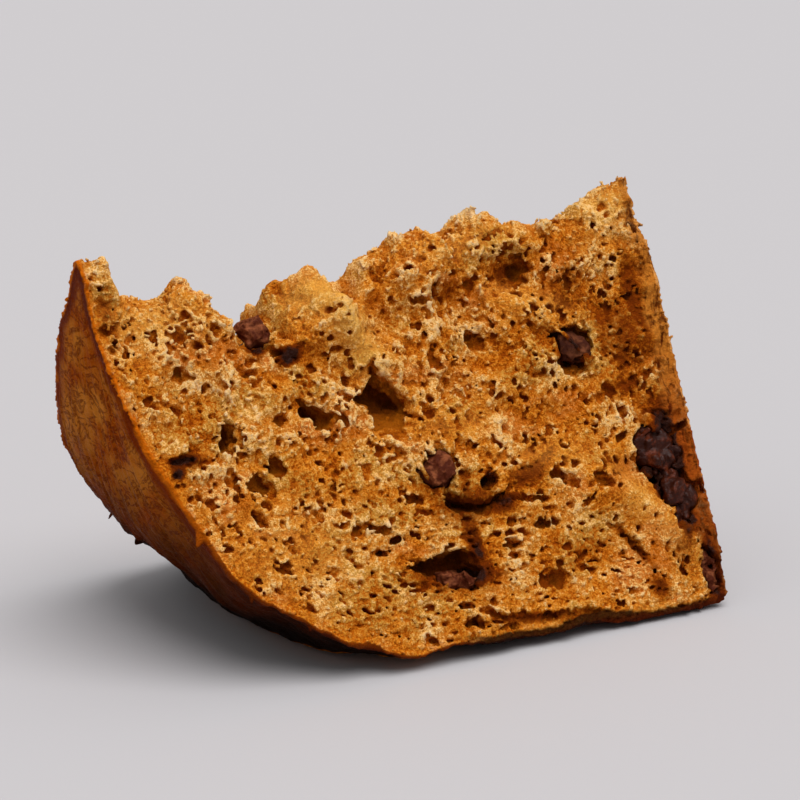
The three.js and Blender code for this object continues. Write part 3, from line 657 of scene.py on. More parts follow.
def growCrumb():
    # the whole bread as one distance field, negative inside
    frontLift = makeFaceLift(frontForms, 31)
    backLift = makeFaceLift(backForms, 36)
    coarse = solidNoise((gridX, gridY, gridZ), noiseCells["coarse"], 51)
    fine = solidNoise((gridX, gridY, gridZ), noiseCells["fine"], 52)
    grit = solidNoise((gridX, gridY, gridZ), max(noiseCells["grit"], 1.3 * voxel), 53)
    layered = solidNoise((gridX * 0.45, gridY, gridZ * 1.5), noiseCells["fine"], 55)
    layers = granules["flatShare"] * smoothStep(faceDown[-1], granules["flatFrom"], granules["flatTo"])
    wide = fine + (layered - fine) * layers[None]
    calmTable = spotForms(calm, gridX[:, None], downAxis[None, :])
    still = sampleRows(calmTable, downStart, voxel, faceDown[-1]) * (gridY[:, None] < 8)
    small = granules["small"] + granules["tornSmall"] * tornShare(faceDown[-1])[None]
    grains = granules["wide"] * np.abs(wide) + small * np.abs(grit) - granules["level"]
    grains *= 1 - granules["calmShare"] * still
    report("noise")
    radiusAxis = np.arange(0, 130, voxel, dtype=np.float32)
    shell = sampleRows(smoothLoaf(gridX[:, None], radiusAxis[None, :]), 0, voxel, offAxis)
    fade = smoothStep(offAxis, 4, 30)
    lowCorner = smoothStep(gridX, 54, 62)[:, None, None] * smoothStep(offAxis, 76, 90)[None]
    fade = fade * (1 - crust["edgeFade"] * lowCorner)
    shell -= sampleRows(makeCrustLift(), angleStart, angleStep, aroundAxis) * fade
    del lowCorner, fade
    report("crust")
    faces = {}
    for side, lift in ((-1, frontLift), (1, backLift)):
        rough = tornShare(faceDown[side])
        faces[side] = faceOut[side] - sampleRows(lift, downStart, voxel, faceDown[side])
        faces[side] -= torn["coarse"] * coarse * rough
    top = (gridZ[None, None, :] - loaf["axisHeight"]) - makeTearHeight()[:, :, None]
    top = top * tear["steep"] - tear["coarse"] * coarse
    crumb = softMax(np.maximum(faces[-1], faces[1]), top, tear["blend"])
    report("faces")
    holes = np.full(gridShape, -3.0, np.float32)
    broad = solidNoise((gridX, gridY, gridZ), noiseCells["broad"], 54) * 0.8 + coarse * 0.5
    warp = (broad, broad[::-1], broad[:, :, ::-1])
    for hollow in hollows:
        stampHollow(holes, -1, hollow, frontLift, warp)
    for x, down, a, b, c, tilt in frontPores:
        centre = facePoint(-1, x, down, seatAt(frontLift, x, down))
        stampPore(holes, centre, faceAxes(-1, tilt), (a, b, c), warp)
    rng = np.random.default_rng(pores["seed"])
    growPores(holes, -1, frontLift, rng)
    growPores(holes, 1, backLift, rng)
    report("pores")
    rough = pores["coarseShare"] * coarse + pores["fineShare"] * fine + pores["gritShare"] * grit
    holes += pores["rough"] * rough
    del rough
    skin = pores["skin"] + 0.3 * coarse
    np.minimum(holes, -(shell + skin), out=holes)
    ragged = granules["onCrust"] + granules["besideFace"] * np.exp(-np.maximum(-crumb, 0) ** 2 / 3)
    outer = shell - ragged * grains
    for x, angle, long, wide, lean in crustFlakes:
        addFlake(outer, x, angle, float(domeRadius(x)), long, wide, lean, warp)
    for angle, radius, long, wide, lean in baseFlakes:
        addFlake(outer, loaf["baseX"], angle, radius, long, wide, lean, warp)
    body = np.maximum(outer, crumb - grains)
    body = softMax(body, -gridZ[None, None, :] + np.zeros(1, np.float32), loaf["settleBlend"])
    body = np.maximum(body, holes)
    report("crumb")
    chunks = growChunks(frontLift, backLift)
    for chunk in chunks:
        carvePocket(body, shell, chunk, True)
    addBits(body, frontLift, [[lump] for lump in meltedLumps], fine)
    addBits(body, frontLift, crumbBits, fine)
    for chunk in chunks:
        carvePocket(body, shell, chunk, False)
    return body, shell, crumb, chunks


def growChunks(frontLift, backLift):
    # every chunk of chocolate: its place, its own field, its name and the solid that it stands for
    chunks = []
    for word, side, rows, lift in (("front", -1, frontChunks, frontLift), ("back", 1, backChunks, backLift)):
        for number, (x, down, *halves, sunk, turn) in enumerate(rows, 1):
            label = f"{word}_{number}"
            out = seatAt(lift, x, down) - sunk - chocolate["sunk"]
            seed = 200 + number * 7 + (90 if side > 0 else 0)
            melted = label in meltedChunks
            chunks.append({
                "name": f"chocolate_chunk_{label}", "node": f"chocolate_{label}", "halves": halves,
                "centre": facePoint(side, x, down, out), "axes": faceAxes(side, turn),
                "grown": growChunk(halves, seed, melted), "melted": melted, "charred": label in charredChunks,
            })
    return chunks


def readField(field, start, step, points):
    # trilinear reading of a field at points in its own millimetres
    u = np.clip((points - start) / step, 0, np.array(field.shape) - 1.001)
    i = u.astype(int)
    t = (u - i).astype(np.float32)
    total = 0
    for dx in (0, 1):
        for dy in (0, 1):
            for dz in (0, 1):
                weight = abs(1 - dx - t[:, 0]) * abs(1 - dy - t[:, 1]) * abs(1 - dz - t[:, 2])
                total = total + weight * field[i[:, 0] + dx, i[:, 1] + dy, i[:, 2] + dz]
    return total


def largestPart(count, corners):
    # marks the faces of the largest connected body
    labels = np.arange(count)
    links = np.concatenate([corners[:, [0, 1]], corners[:, [1, 2]], corners[:, [2, 3]]])
    while True:
        low = np.minimum(labels[links[:, 0]], labels[links[:, 1]])
        before = labels.copy()
        np.minimum.at(labels, labels[links[:, 0]], low)
        np.minimum.at(labels, labels[links[:, 1]], low)
        np.minimum.at(labels, links[:, 0], low)
        np.minimum.at(labels, links[:, 1], low)
        labels = labels[labels]
        if np.array_equal(labels, before):
            break
    sizes = np.bincount(labels, minlength=count)
    return labels[corners[:, 0]] == sizes.argmax()


def fieldSurface(field, step, start):
    # quads around the zero level of a field, largest body only
    volume = openvdb.FloatGrid(1.5)
    volume.copyFromArray(np.clip(field, -1.5, 1.5).astype(np.float32))
    volume.transform = openvdb.createLinearTransform(voxelSize=step)
    points, corners = volume.convertToQuads(isovalue=0.0)
    corners = corners.astype(np.int64)
    kept = corners[largestPart(len(points), corners)]
    used = np.unique(kept)
    renumber = np.zeros(len(points), np.int64)
    renumber[used] = np.arange(len(used))
    return points[used] + start, renumber[kept]


def makeMesh(name, points, faces):
    mesh = bpy.data.meshes.new(name)
    corners = faces.shape[1]
    mesh.vertices.add(len(points))
    mesh.vertices.foreach_set("co", (points * mm).astype(np.float32).ravel())
    mesh.loops.add(faces.size)
    mesh.loops.foreach_set("vertex_index", faces.astype(np.int32).ravel())
    mesh.polygons.add(len(faces))
    mesh.polygons.foreach_set("loop_start", np.arange(0, faces.size, corners, dtype=np.int32))
    mesh.update(calc_edges=True)
    mesh.validate()
    piece = bpy.data.objects.new(name, mesh)
    bpy.context.scene.collection.objects.link(piece)
    return piece


# stains on the front crumb, a few of them painted shade in its pits: place along the loaf and below the axis,
# spreads, tilt, strength
stainsAndShade = [
    (9, 66, 2.0, 12, 6, 1.0), (10, 62, 9, 4, 4, 0.9), (2, 74.6, 9, 3.2, 8, 1.0),
    (56, 40, 6, 9, -10, 0.4), (3.5, 55.5, 6, 5, 0, 0.75), (18, 64, 5, 2.5, 0, 0.6),
    (32, 17, 5, 3.5, 0, 0.7), (-22, 26.5, 4, 2, -20, 0.8), (42, 34, 7, 6, 0, 0.5),
    (16, 19, 5, 3, 0, 0.45), (54, 34, 7, 13, 0, 0.66), (58, 55, 5, 12, -10, 0.75),
    (50, 60, 8, 3, 10, 0.5), (49, 86, 2.5, 3, 0, 0.9), (4, 76, 11, 4, 6, 0.8), (26, 80, 5, 3, 0, 0.6),
    (25, 68, 5, 2.5, 0, 0.45), (38, 76, 8, 4, 0, 0.4), (-49, 44, 4.5, 2.2, 0, 0.8),
    (59, 28, 3, 16, 0, 0.7), (45.4, 76.6, 7, 1.3, 58, 0.85), (19, 87, 14, 1.4, 6, 0.85),
    (24, 58.5, 6, 3, -10, 0.7), (44, 22, 8, 8, 0, 0.5), (31, 38, 7, 3, 0, 0.4), (53, 44, 9, 3, 0, 0.6),
    (-27, 22, 5, 5, 0, 0.6), (56, 79, 4, 9, 0, 0.5), (22, 30, 6, 4, 0, 0.35),
    (-58, 14, 3, 10, 10, 0.5), (26, 42, 8, 3, 0, 0.3), (-6, 66, 9, 2, 5, 0.35),
]
# chocolate melted into the front crumb, as dark glossy patches
smears = [
    (58.5, 55, 3.2, 5, -8, 1.2), (57, 64, 4.4, 6, -18, 1.2), (59, 72, 2.2, 4.5, -12, 1.2),
    (62.3, 85, 1.8, 7, 0, 1.1), (-25.4, 18, 3, 3, 0, 1.0), (-27.5, 23.4, 2, 2.6, 0, 0.9),
    (7, 75.8, 5, 2.4, 8, 1.1), (-21.8, 26.8, 2.8, 1.9, -20, 1.0), (-49, 43.6, 3.4, 1.1, 0, 0.9),
    (-50.8, 46, 1.3, 1.6, 0, 0.9), (16, 57.8, 1.6, 1.6, 0, 1.0), (41.5, 34.5, 4.4, 4.6, 0, 0.8),
    (18.5, 62.8, 4, 1.2, -14, 0.75), (9.5, 71.5, 1.6, 2.4, 0, 0.8), (54.5, 61, 3, 3.4, 0, 1.1),
    (59.5, 60, 2.6, 12, 0, 1.2), (33.5, 17, 2, 1.6, 0, 0.55), (4.5, 55, 3.6, 3.4, 0, 0.6),
    (57.3, 76.3, 1.4, 2, 0, 0.6),
]
# paler, yellower places of the front crumb, on ridges and along the bottom edge: partly the crumb's own
# colour, partly painted highlight where it catches the light
goldAndHighlightSpots = [
    (-9.5, 20, 14, 4.2, 63, 1.3), (-15, 14, 5, 6, 0, 0.9), (49.5, 68.5, 13, 3, 58, 0.5),
    (-48, 16, 10, 6, 0, 0.6), (22, 9, 12, 4, 0, 0.5), (58, 5, 6, 7, 0, 0.8),
    (20, 90.5, 18, 1.6, 4, 1.0), (44, 91, 12, 1.6, 2, 0.8), (34, 24, 9, 3, 25, 0.5),
    (-30, 65, 12, 9, 0, 0.3), (10, 45, 12, 3, 10, 0.3), (30, 55, 9, 3, 5, 0.35),
]
# the bread's colours; several are painted light: highlights on the crumb's ridges, shade in its pits and
# pores, shade and shadow low on the crust
bread = {
    "faces": 600000,
    "proud": ((0.6, 0.32), (1.6, 0.45)),
    "light": (255, 196, 112), "glint": (255, 212, 152), "main": (230, 142, 40), "shade": (192, 98, 10),
    "deep": (140, 58, 2), "poreShade": (162, 86, 10), "poreShadeFar": (104, 44, 4), "stainAndShade": (92, 34, 2),
    "goldAndHighlight": (255, 190, 84), "rim": (196, 94, 4), "rimPale": (234, 144, 36), "dull": (210, 130, 44),
    "olive": (204, 144, 56), "rosy": (214, 122, 48), "burntAndShadow": (38, 12, 3), "crust": (170, 74, 0),
    "crustPale": (210, 126, 40), "crustDark": (102, 30, 0), "crustBand": (128, 42, 0),
    "crustEdgeAndHighlight": (222, 112, 8), "foot": (98, 32, 1), "base": (90, 34, 4), "basePale": (122, 56, 12),
    "baseFlake": (232, 160, 84), "baseBand": (160, 72, 16), "baseStreakAndShade": (86, 28, 3), "under": (16, 5, 1),
    "chocolate": (44, 15, 5), "crumbRough": 0.65, "crustRough": 0.5, "meltRough": 0.28, "shine": 0.028,
    "meltShine": 0.12, "subsurface": 0.03, "subsurfaceDepth": 0.0015,
}
# the crumb's shading and colour shifts: proud ridges and bright specks take painted highlight and glints,
# hollows painted shade; how far each noise and mark shifts it, and where each colour begins and is full
crumbShadeAndTone = {"hollow": -0.9, "speck": 4.6, "dust": 3.4, "mottle": 3.6, "patch": 4.8, "stainAndShade": -2.2,
             "smear": -2.6, "level": -0.22}
shadeAndToneColors = [("light", 0.1, 1.0), ("glint", 0.9, 1.9), ("shade", -0.1, -1.0), ("deep", -0.9, -2.2)]


def linear(rgb):
    # a colour given as seen on screen, turned into the shader's scale
    parts = [v / 255 for v in rgb]
    return tuple(v / 12.92 if v <= 0.04045 else ((v + 0.055) / 1.055) ** 2.4 for v in parts) + (1.0,)


def grey(value):
    return (value, value, value, 1.0)


def setAttribute(mesh, name, values):
    layer = mesh.attributes.new(name, "FLOAT", "POINT")
    layer.data.foreach_set("value", np.asarray(values, np.float32))


def meshPoints(mesh):
    points = np.empty(len(mesh.vertices) * 3, np.float32)
    mesh.vertices.foreach_get("co", points)
    return points.reshape(-1, 3)


def thinned(piece, wanted):
    # the piece with about the wanted number of triangles
    if len(piece.data.polygons) > wanted:
        thin = piece.modifiers.new("thin", "DECIMATE")
        thin.ratio = wanted / len(piece.data.polygons)
        thin.use_collapse_triangulate = True
        graph = bpy.context.evaluated_depsgraph_get()
        finished = bpy.data.meshes.new_from_object(piece.evaluated_get(graph))
        piece.modifiers.clear()
        old = piece.data
        piece.data = finished
        bpy.data.meshes.remove(old)
    return piece


def unrolled(mesh, points, crustDepth, faceDepth):
    # flat charts in a UV map: front face, back face, side wall and flat base
    triangles = np.empty(len(mesh.loops), np.int32)
    mesh.loops.foreach_get("vertex_index", triangles)
    corners = triangles.reshape(-1, 3)
    middle = points[corners].mean(1)
    side = np.where(middle[:, 1] < 0, 0, 1)
    onCrust = (crustDepth[corners].mean(1) < 0.45) & (faceDepth[corners].mean(1) > 0.3)
    onBase = onCrust & (middle[:, 0] > loaf["baseX"] - 1.6)
    chart = np.where(onBase, 3, np.where(onCrust, 2, side))
    chart = np.repeat(chart, 3)
    at = points[triangles]
    below = loaf["axisHeight"] - at[:, 2]
    down = np.abs(at[:, 1]) * sinHalf + below * cosHalf
    turned = np.arctan2(at[:, 1], np.maximum(below, 1))
    along = at[:, 0] - domeX
    scale = 1 / 270
    places = [
        (along + 2, down + 12), (along + 137, down + 12),
        (along + 2, turned * 95 + 175), (at[:, 1] + 185, below + 135),
    ]
    u = np.choose(chart, [p[0] for p in places]) * scale
    v = np.choose(chart, [p[1] for p in places]) * scale
    layer = mesh.uv_layers.new(name="OFBake")
    layer.data.foreach_set("uv", np.stack([u, v], -1).astype(np.float32).ravel())


def boxBlur(field, reach):
    # the field averaged over a box of voxels around each place
    for axis in range(3):
        count = field.shape[axis]
        sums = np.cumsum(field, axis=axis, dtype=np.float32)
        last = np.take(sums, np.minimum(np.arange(count) + reach, count - 1), axis=axis)
        first = np.take(sums, np.maximum(np.arange(count) - reach - 1, 0), axis=axis)
        field = (last - first) / (2 * reach + 1)
    return field


def proudness(field, reach, points, faceDepth):
    # above 0 on ridges and below 0 in pits of about the reach, in units of its usual spread on the faces
    blurred = boxBlur(np.clip(field, -1, 1), max(1, round(reach / voxel)))
    values = readField(blurred, gridStart, voxel, points)
    onFace = values[np.abs(faceDepth) < 1.5]
    return (values - onFace.mean()) / onFace.std()


def makeBread():
    field, shell, crumb, chunks = growCrumb()
    report("bread field")
    points, quads = fieldSurface(field, voxel, gridStart)
    report(f"bread surface, {len(quads)} faces")
    points[:, 0] -= loaf["middleX"]
    triangles = np.concatenate([quads[:, [0, 1, 2]], quads[:, [0, 2, 3]]])
    piece = thinned(makeMesh("torn_bread", points, triangles), bread["faces"])
    mesh = piece.data
    report(f"bread thinned to {len(mesh.polygons)} faces")
    points = meshPoints(mesh) / mm
    points[:, 0] += loaf["middleX"]
    shellDepth = -readField(shell, gridStart, voxel, points)
    faceDepth = -readField(crumb, gridStart, voxel, points)
    crustDepth = np.minimum(shellDepth, points[:, 2] + 0.05)
    proud = sum(share * proudness(field, reach, points, faceDepth) for reach, share in bread["proud"])
    setAttribute(mesh, "proud", np.clip(proud, -3, 3))
    report("proud and sunken places")
    below = loaf["axisHeight"] - points[:, 2]
    down = np.abs(points[:, 1]) * sinHalf + below * cosHalf
    front = smoothStep(-points[:, 1], -2, 4)
    setAttribute(mesh, "crustDepth", crustDepth)
    setAttribute(mesh, "faceDepth", faceDepth)
    setAttribute(mesh, "down", down)
    for word, forms in (("stainAndShade", stainsAndShade), ("goldAndHighlight", goldAndHighlightSpots), ("smear", smears)):
        setAttribute(mesh, word, spotForms(forms, points[:, 0], down) * front)
    unrolled(mesh, points, crustDepth, faceDepth)
    mesh.shade_smooth()
    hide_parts("panettone")
    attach(piece, "root")
    report("bread finished")
    return piece, chunks


class Shader:
    # a small helper that adds nodes to one material and joins them
    def __init__(self, name, values):
        self.material = bpy.data.materials.new(name)
        self.material.use_nodes = True
        self.values = values
        self.tree = self.material.node_tree
        self.surface = self.tree.nodes["Principled BSDF"]
        self.places = self.add("ShaderNodeTexCoord").outputs["Object"]

    def add(self, kind, settings=None, **inputs):
        item = self.tree.nodes.new(kind)
        for key, value in (settings or {}).items():
            setattr(item, key, value)
        for key, value in inputs.items():
            self.join(item.inputs[key], value)
        return item

    def join(self, socket, value):
        if isinstance(value, bpy.types.NodeSocket):
            self.tree.links.new(value, socket)
        else:
            socket.default_value = value

    def attribute(self, name):
        return self.add("ShaderNodeAttribute", {"attribute_name": name}).outputs["Fac"]

    def noise(self, scale, detail, roughness, vector=None, distortion=0.0):
        item = self.add("ShaderNodeTexNoise", Scale=scale, Detail=detail, Roughness=roughness,
                        Distortion=distortion, Vector=vector or self.places)
        return item.outputs["Fac"]

    def stretched(self, scale, turn=(0, 0, 0)):
        return self.add("ShaderNodeMapping", Scale=scale, Rotation=turn, Vector=self.places).outputs["Vector"]

    def math(self, operation, first, second=0.0):
        item = self.add("ShaderNodeMath", {"operation": operation})
        self.join(item.inputs[0], first)
        self.join(item.inputs[1], second)
        return item.outputs[0]

    def times(self, first, second):
        return self.math("MULTIPLY", first, second)

    def plus(self, first, second, share=1.0):
        # the first value with a share of the second added
        return self.math("ADD", first, self.times(second, share))

    def around(self, noise):
        # a noise as a shift to both sides of 0
        return self.math("SUBTRACT", noise, 0.5)

    def between(self, value, low, high, atLow=0.0, atHigh=1.0):
        item = self.add("ShaderNodeMapRange", {"interpolation_type": "SMOOTHSTEP"})
        for name, part in (("Value", value), ("From Min", low), ("From Max", high),
                           ("To Min", atLow), ("To Max", atHigh)):
            self.join(item.inputs[name], part)
        return item.outputs["Result"]

    def mix(self, share, first, second):
        item = self.add("ShaderNodeMix", {"data_type": "RGBA", "clamp_factor": True})
        self.join(item.inputs[0], share)
        self.join(item.inputs[6], first)
        self.join(item.inputs[7], second)
        return item.outputs[2]

    def color(self, name):
        return linear(self.values[name])

    def laid(self, share, under, name):
        # a named colour laid over what is there
        return self.mix(share, under, self.color(name))

    def faded(self, under, name, value, low, high, most=1.0):
        # a named colour that comes in as a value goes from low to high
        return self.laid(self.between(value, low, high, 0, most), under, name)

    def bump(self, height, strength, distance, normal=None):
        item = self.add("ShaderNodeBump", Strength=strength, Distance=distance, Height=height)
        if normal:
            self.join(item.inputs["Normal"], normal)
        return item.outputs["Normal"]

    def finish(self, color, rough, shine, normal):
        for name, value in (("Base Color", color), ("Roughness", rough), ("Specular IOR Level", shine),
                            ("Normal", normal)):
            self.join(self.surface.inputs[name], value)
        return self.material


def makeBreadMaterial():
    s = Shader("bread_crumb_and_crust", bread)
    crustDepth = s.attribute("crustDepth")
    faceDepth = s.attribute("faceDepth")
    down = s.attribute("down")
    patch = s.noise(110, 3, 0.55)
    mottle = s.noise(420, 4, 0.6)
    speck = s.noise(1900, 3, 0.65)
    dust = s.noise(3400, 2, 0.6)
    cloud = s.noise(65, 3, 0.6, s.stretched((0.8, 1, 1.3), (0.3, 0.2, 0.5)))
    patchShift, mottleShift = s.around(patch), s.around(mottle)
    spot = s.add("ShaderNodeSeparateXYZ", Vector=s.places)
    alongX, height = spot.outputs["X"], spot.outputs["Z"]
    unevenHeight = s.plus(height, patchShift, 0.02)
    toBase = s.plus(alongX, patchShift, 0.006)

    # crumb: painted highlight and glints on the ridges, painted shade, browner and darker, down in the pits
    # and pores
    hollow = s.plus(faceDepth, mottleShift, 1.6)
    stainedAndShaded = s.between(s.math("ADD", s.attribute("stainAndShade"), mottleShift), 0.15, 0.85)
    smeared = s.between(s.math("ADD", s.attribute("smear"), mottleShift), 0.15, 0.55)
    shadeAndTone = s.attribute("proud")
    for name, value in (("hollow", s.between(hollow, 0, 2)), ("speck", s.around(speck)),
                        ("dust", s.around(dust)), ("mottle", mottleShift), ("patch", patchShift),
                        ("stainAndShade", stainedAndShaded), ("smear", smeared), ("level", 1.0)):
        shadeAndTone = s.plus(shadeAndTone, value, crumbShadeAndTone[name])
    color = s.faded(s.color("main"), "dull", patch, 0.4, 0.62)
    color = s.faded(color, "olive", cloud, 0.52, 0.62, 0.8)
    color = s.faded(color, "rosy", cloud, 0.46, 0.36, 0.8)
    # painted highlight and glints on proud ridges and specks, painted shade and darker painted shade in the
    # pits
    for name, begins, full in shadeAndToneColors:
        color = s.faded(color, name, shadeAndTone, begins, full)
    # painted shade: the crumb darker the farther down into a pore it lies
    color = s.faded(color, "poreShade", hollow, 1.2, 3.2)
    color = s.faded(color, "poreShadeFar", hollow, 3.4, 6.0, 0.8)
    # paler yellow crumb on raised places, partly painted highlight on the lit ridges
    raised = s.between(hollow, 1.2, -0.2, 0, 0.45)
    color = s.laid(s.times(s.attribute("goldAndHighlight"), raised), color, "goldAndHighlight")
    color = s.faded(color, "shade", mottle, 0.56, 0.74, 0.4)
    # stains darken and brown the crumb; a few of them are painted shade in pits
    color = s.laid(s.times(stainedAndShaded, 0.66), color, "stainAndShade")
    color = s.laid(s.times(smeared, 0.6), color, "stainAndShade")

    # the rim beside the crust, thickest low down
    rimDepth = s.math("DIVIDE", s.plus(crustDepth, patchShift, 2.5), s.between(down, 66, 86, 1.0, 1.7))
    rimColor = s.faded(s.color("rim"), "rimPale", speck, 0.44, 0.58)
    color = s.mix(s.between(rimDepth, 2.6, 0.2, 0, 0.8), color, rimColor)

    # the burnt line along the bottom right: a dark line, partly burnt crust and partly painted contact shadow
    # beneath the edge
    burntShadowPart = s.times(s.between(down, 78, 84), s.between(alongX, -0.004, 0.006))
    burntShadowEdge = s.plus(crustDepth, patchShift, 2.2)
    burntShadowEdge = s.math("SUBTRACT", burntShadowEdge, s.between(alongX, 0.01, 0.04, 0, 1.2))
    color = s.laid(s.times(s.between(burntShadowEdge, 2.1, 1.2, 0, 0.95), burntShadowPart), color, "burntAndShadow")
    # painted contact shadow: darker in the lowest few millimetres above the floor on the right half
    contactShade = s.between(s.plus(height, patchShift, 0.005), 0.0034, 0.0012, 0, 0.95)
    color = s.laid(s.times(contactShade, s.between(alongX, 0, 0.02)), color, "baseStreakAndShade")

    # the streaked strip where the base is seen edge on
    strip = s.math("ADD", toBase, s.between(down, 6, 34, -0.0022, 0))
    streak = s.noise(420, 3, 0.6, s.stretched((1.6, 1, 0.3)))
    streaked = s.faded(s.color("baseBand"), "dull", down, 58, 34, 0.85)
    streaked = s.faded(streaked, "baseStreakAndShade", down, 66, 84, 0.7)
    streaked = s.faded(streaked, "baseStreakAndShade", streak, 0.48, 0.64)
    color = s.mix(s.between(strip, 0.0572, 0.0594, 0, 0.9), color, streaked)

    # crust: pale veined skin, a red-brown band beside the cut, an orange cut edge with painted highlight,
    # painted shade on the foot and near-black painted shadow on the underside
    band = s.plus(faceDepth, patchShift, 3.5)
    veins = s.noise(330, 4, 0.6, s.stretched((1, 0.55, 0.7)), 1.2)
    vein = s.between(s.math("ABSOLUTE", s.around(veins)), 0.07, 0, 0, 0.75)
    skin = s.faded(s.color("crustPale"), "crust", patch, 0.35, 0.65)
    skin = s.laid(vein, skin, "crustDark")
    skin = s.faded(skin, "crustPale", speck, 0.5, 0.7, 0.5)
    skin = s.faded(skin, "crustBand", band, 5.5, 2.0, 0.92)
    highUp = s.times(s.between(unevenHeight, 0.058, 0.072), s.between(band, 4.5, 2.0, 0, 0.8))
    skin = s.laid(highUp, skin, "crustDark")
    # the orange cut edge of the crust, painted brighter as a highlight where it catches the light
    skin = s.faded(skin, "crustEdgeAndHighlight", band, 1.3, 0.2, 0.9)
    # painted shade: the crust darker low down, towards the floor
    skin = s.faded(skin, "foot", unevenHeight, 0.046, 0.02, 0.85)
    # near-black painted shadow on the crust close to the floor, away from the cut face
    past = s.between(s.plus(alongX, patchShift, 0.01), -0.004, 0.012, 0, 0.95)
    awayFromFace = s.math("MAXIMUM", s.between(faceDepth, 0.2, 2.5), past)
    skin = s.laid(s.times(s.between(unevenHeight, 0.034, 0.006, 0, 0.98), awayFromFace), skin, "under")
    # the same dark line on the crust: burnt crust and painted contact shadow
    skin = s.laid(burntShadowPart, skin, "burntAndShadow")

    # the flat base: mottled brown, streaked and flaked beside the cut
    base = s.faded(s.color("base"), "basePale", cloud, 0.42, 0.6)
    base = s.faded(base, "baseBand", mottle, 0.46, 0.6, 0.55)
    base = s.faded(base, "crustPale", speck, 0.5, 0.64, 0.5)
    base = s.laid(vein, base, "baseStreakAndShade")
    base = s.mix(s.between(band, 6.0, 2.5), base, streaked)
    flaked = s.times(s.between(band, 1.8, 0.5), s.between(mottle, 0.44, 0.58))
    base = s.laid(s.times(flaked, s.between(down, 78, 50, 0.25, 0.9)), base, "baseFlake")
    skin = s.mix(s.between(toBase, 0.055, 0.0605), skin, base)
    onCrust = s.between(crustDepth, 0.7, 0.25)
    color = s.mix(onCrust, color, skin)

    # chocolate melted into the crumb
    melted = s.between(s.plus(s.attribute("smear"), mottleShift, 1.1), 0.5, 0.78)
    color = s.laid(s.times(melted, 0.96), color, "chocolate")

    rough = s.mix(onCrust, grey(bread["crumbRough"]), grey(bread["crustRough"]))
    rough = s.mix(melted, rough, grey(bread["meltRough"]))
    shine = s.between(melted, 0, 1, bread["shine"], bread["meltShine"])
    relief = s.bump(mottle, 0.6, 0.0010, s.bump(speck, 1.0, 0.0008))
    relief = s.bump(s.times(vein, onCrust), -0.5, 0.0005, relief)
    s.surface.inputs["Subsurface Weight"].default_value = bread["subsurface"]
    s.surface.inputs["Subsurface Radius"].default_value = (1.0, 0.5, 0.2)
    s.surface.inputs["Subsurface Scale"].default_value = bread["subsurfaceDepth"]
    return s.finish(color, rough, shine, relief)


def makeChunk(chunk, material):
    points, quads = fieldSurface(*chunk["grown"])
    points = chunk["centre"] + points @ np.array(chunk["axes"])
    points[:, 0] -= loaf["middleX"]
    piece = makeMesh(chunk["name"], points, quads)
    for word in ("melted", "charred"):
        setAttribute(piece.data, word, np.full(len(points), float(chunk[word])))
    piece.data.shade_smooth()
    piece.data.materials.append(material)
    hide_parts(chunk["node"])
    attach(piece, "root")


def makeChocolateMaterial():
    s = Shader("dark_chocolate", chocolate)
    melted = s.attribute("melted")
    mottle = s.noise(500, 4, 0.6)
    speck = s.noise(1600, 3, 0.6)
    broken = s.faded(s.color("color"), "bloom", mottle, 0.42, 0.7)
    # painted reddish highlights on the melted chocolate, scattered by noise
    glossy = s.faded(s.color("melt"), "russetHighlight", mottle, 0.48, 0.68, 0.7)
    color = s.mix(melted, broken, glossy)
    color = s.laid(s.times(s.attribute("charred"), chocolate["charShare"]), color, "char")
    matte = s.between(mottle, 0.3, 0.7, chocolate["rough"], 0.75)
    rough = s.mix(melted, matte, grey(chocolate["meltRough"]))
    shine = s.between(melted, 0, 1, chocolate["shine"], chocolate["meltShine"])
    return s.finish(color, rough, shine, s.bump(speck, 0.5, 0.0005, s.bump(mottle, 0.5, 0.0006)))


def makeChocolates(chunks):
    material = makeChocolateMaterial()
    for chunk in chunks:
        makeChunk(chunk, material)
    report("chocolate")


studio = {
    "azimuth": -29.0, "elevation": 18.0, "distance": 700.0, "target": (-2.0, 0.0, 38.5), "lens": 154.44,
    "aimRight": 0.01253, "aimUp": 0.00708, "floor": (190, 187, 189), "floorHalf": 4.0, "floorGap": 0.00005,
    "horizon": 0.09, "zenith": 0.7, "key": 2.35, "softness": 50.0, "keyFrom": (0.02, -0.42, 1.0),
}


def linked(name, data):
    item = bpy.data.objects.new(name, data)
    bpy.context.scene.collection.objects.link(item)
    return item


def makeFloor():
    half = studio["floorHalf"]
    mesh = bpy.data.meshes.new("pale_floor")
    corners = [(-half, -half, 0), (half, -half, 0), (half, half, 0), (-half, half, 0)]
    mesh.from_pydata(corners, [], [(0, 1, 2, 3)])
    floor = linked("pale_floor", mesh)
    floor.location.z = -studio["floorGap"]
    s = Shader("pale_floor", studio)
    s.surface.inputs["Base Color"].default_value = s.color("floor")
    s.surface.inputs["Roughness"].default_value = 0.8
    s.surface.inputs["Specular IOR Level"].default_value = 0.1
    mesh.materials.append(s.material)


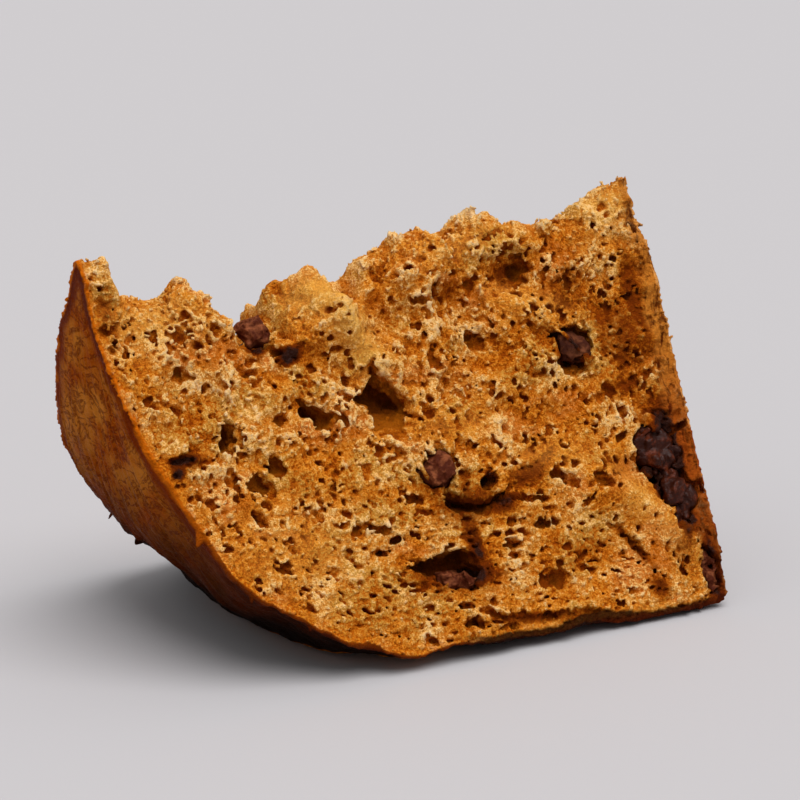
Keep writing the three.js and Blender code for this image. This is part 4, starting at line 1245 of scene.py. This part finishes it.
def makeRoom():
    # the room is bright overhead and dimmer towards the horizon
    world = bpy.data.worlds.new("soft_room")
    world.use_nodes = True
    tree = world.node_tree
    direction = tree.nodes.new("ShaderNodeTexCoord")
    height = tree.nodes.new("ShaderNodeSeparateXYZ")
    fade = tree.nodes.new("ShaderNodeMapRange")
    fade.interpolation_type = "SMOOTHSTEP"
    fade.inputs["From Max"].default_value = 0.9
    fade.inputs["To Min"].default_value = studio["horizon"]
    fade.inputs["To Max"].default_value = studio["zenith"]
    tree.links.new(direction.outputs["Generated"], height.inputs[0])
    tree.links.new(height.outputs["Z"], fade.inputs["Value"])
    tree.links.new(fade.outputs["Result"], tree.nodes["Background"].inputs["Strength"])
    tree.nodes["Background"].inputs["Color"].default_value = grey(1.0)
    bpy.context.scene.world = world
    lamp = bpy.data.lights.new("soft_overhead", "SUN")
    lamp.energy = studio["key"]
    lamp.angle = math.radians(studio["softness"])
    overhead = linked("soft_overhead", lamp)
    overhead.location = (0.3, -0.2, 0.9)
    overhead.rotation_euler = (-Vector(studio["keyFrom"])).to_track_quat("-Z", "Y").to_euler()


def makeCamera():
    # the photo's own angle, with the aim a little off the target as in the photo's frame
    azimuth, elevation = math.radians(studio["azimuth"]), math.radians(studio["elevation"])
    flat = math.cos(elevation)
    back = Vector((math.sin(azimuth) * flat, -math.cos(azimuth) * flat, math.sin(elevation)))
    right = Vector((math.cos(azimuth), math.sin(azimuth), 0))
    up = back.cross(right)
    camera = linked("camera", bpy.data.cameras.new("camera"))
    camera.data.lens = studio["lens"]
    camera.data.clip_end = 20
    camera.location = (Vector(studio["target"]) + back * studio["distance"]) * mm
    aim = -back + right * studio["aimRight"] + up * studio["aimUp"]
    camera.rotation_euler = aim.to_track_quat("-Z", "Y").to_euler()
    bpy.context.scene.camera = camera


def makeStudio():
    makeFloor()
    makeRoom()
    makeCamera()
    bpy.context.scene.view_settings.view_transform = "Standard"
    report("studio")


breadPiece, chunks = makeBread()
breadPiece.data.materials.clear()
breadPiece.data.materials.append(makeBreadMaterial())
makeChocolates(chunks)
makeStudio()

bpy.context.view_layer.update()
report("sizes written")
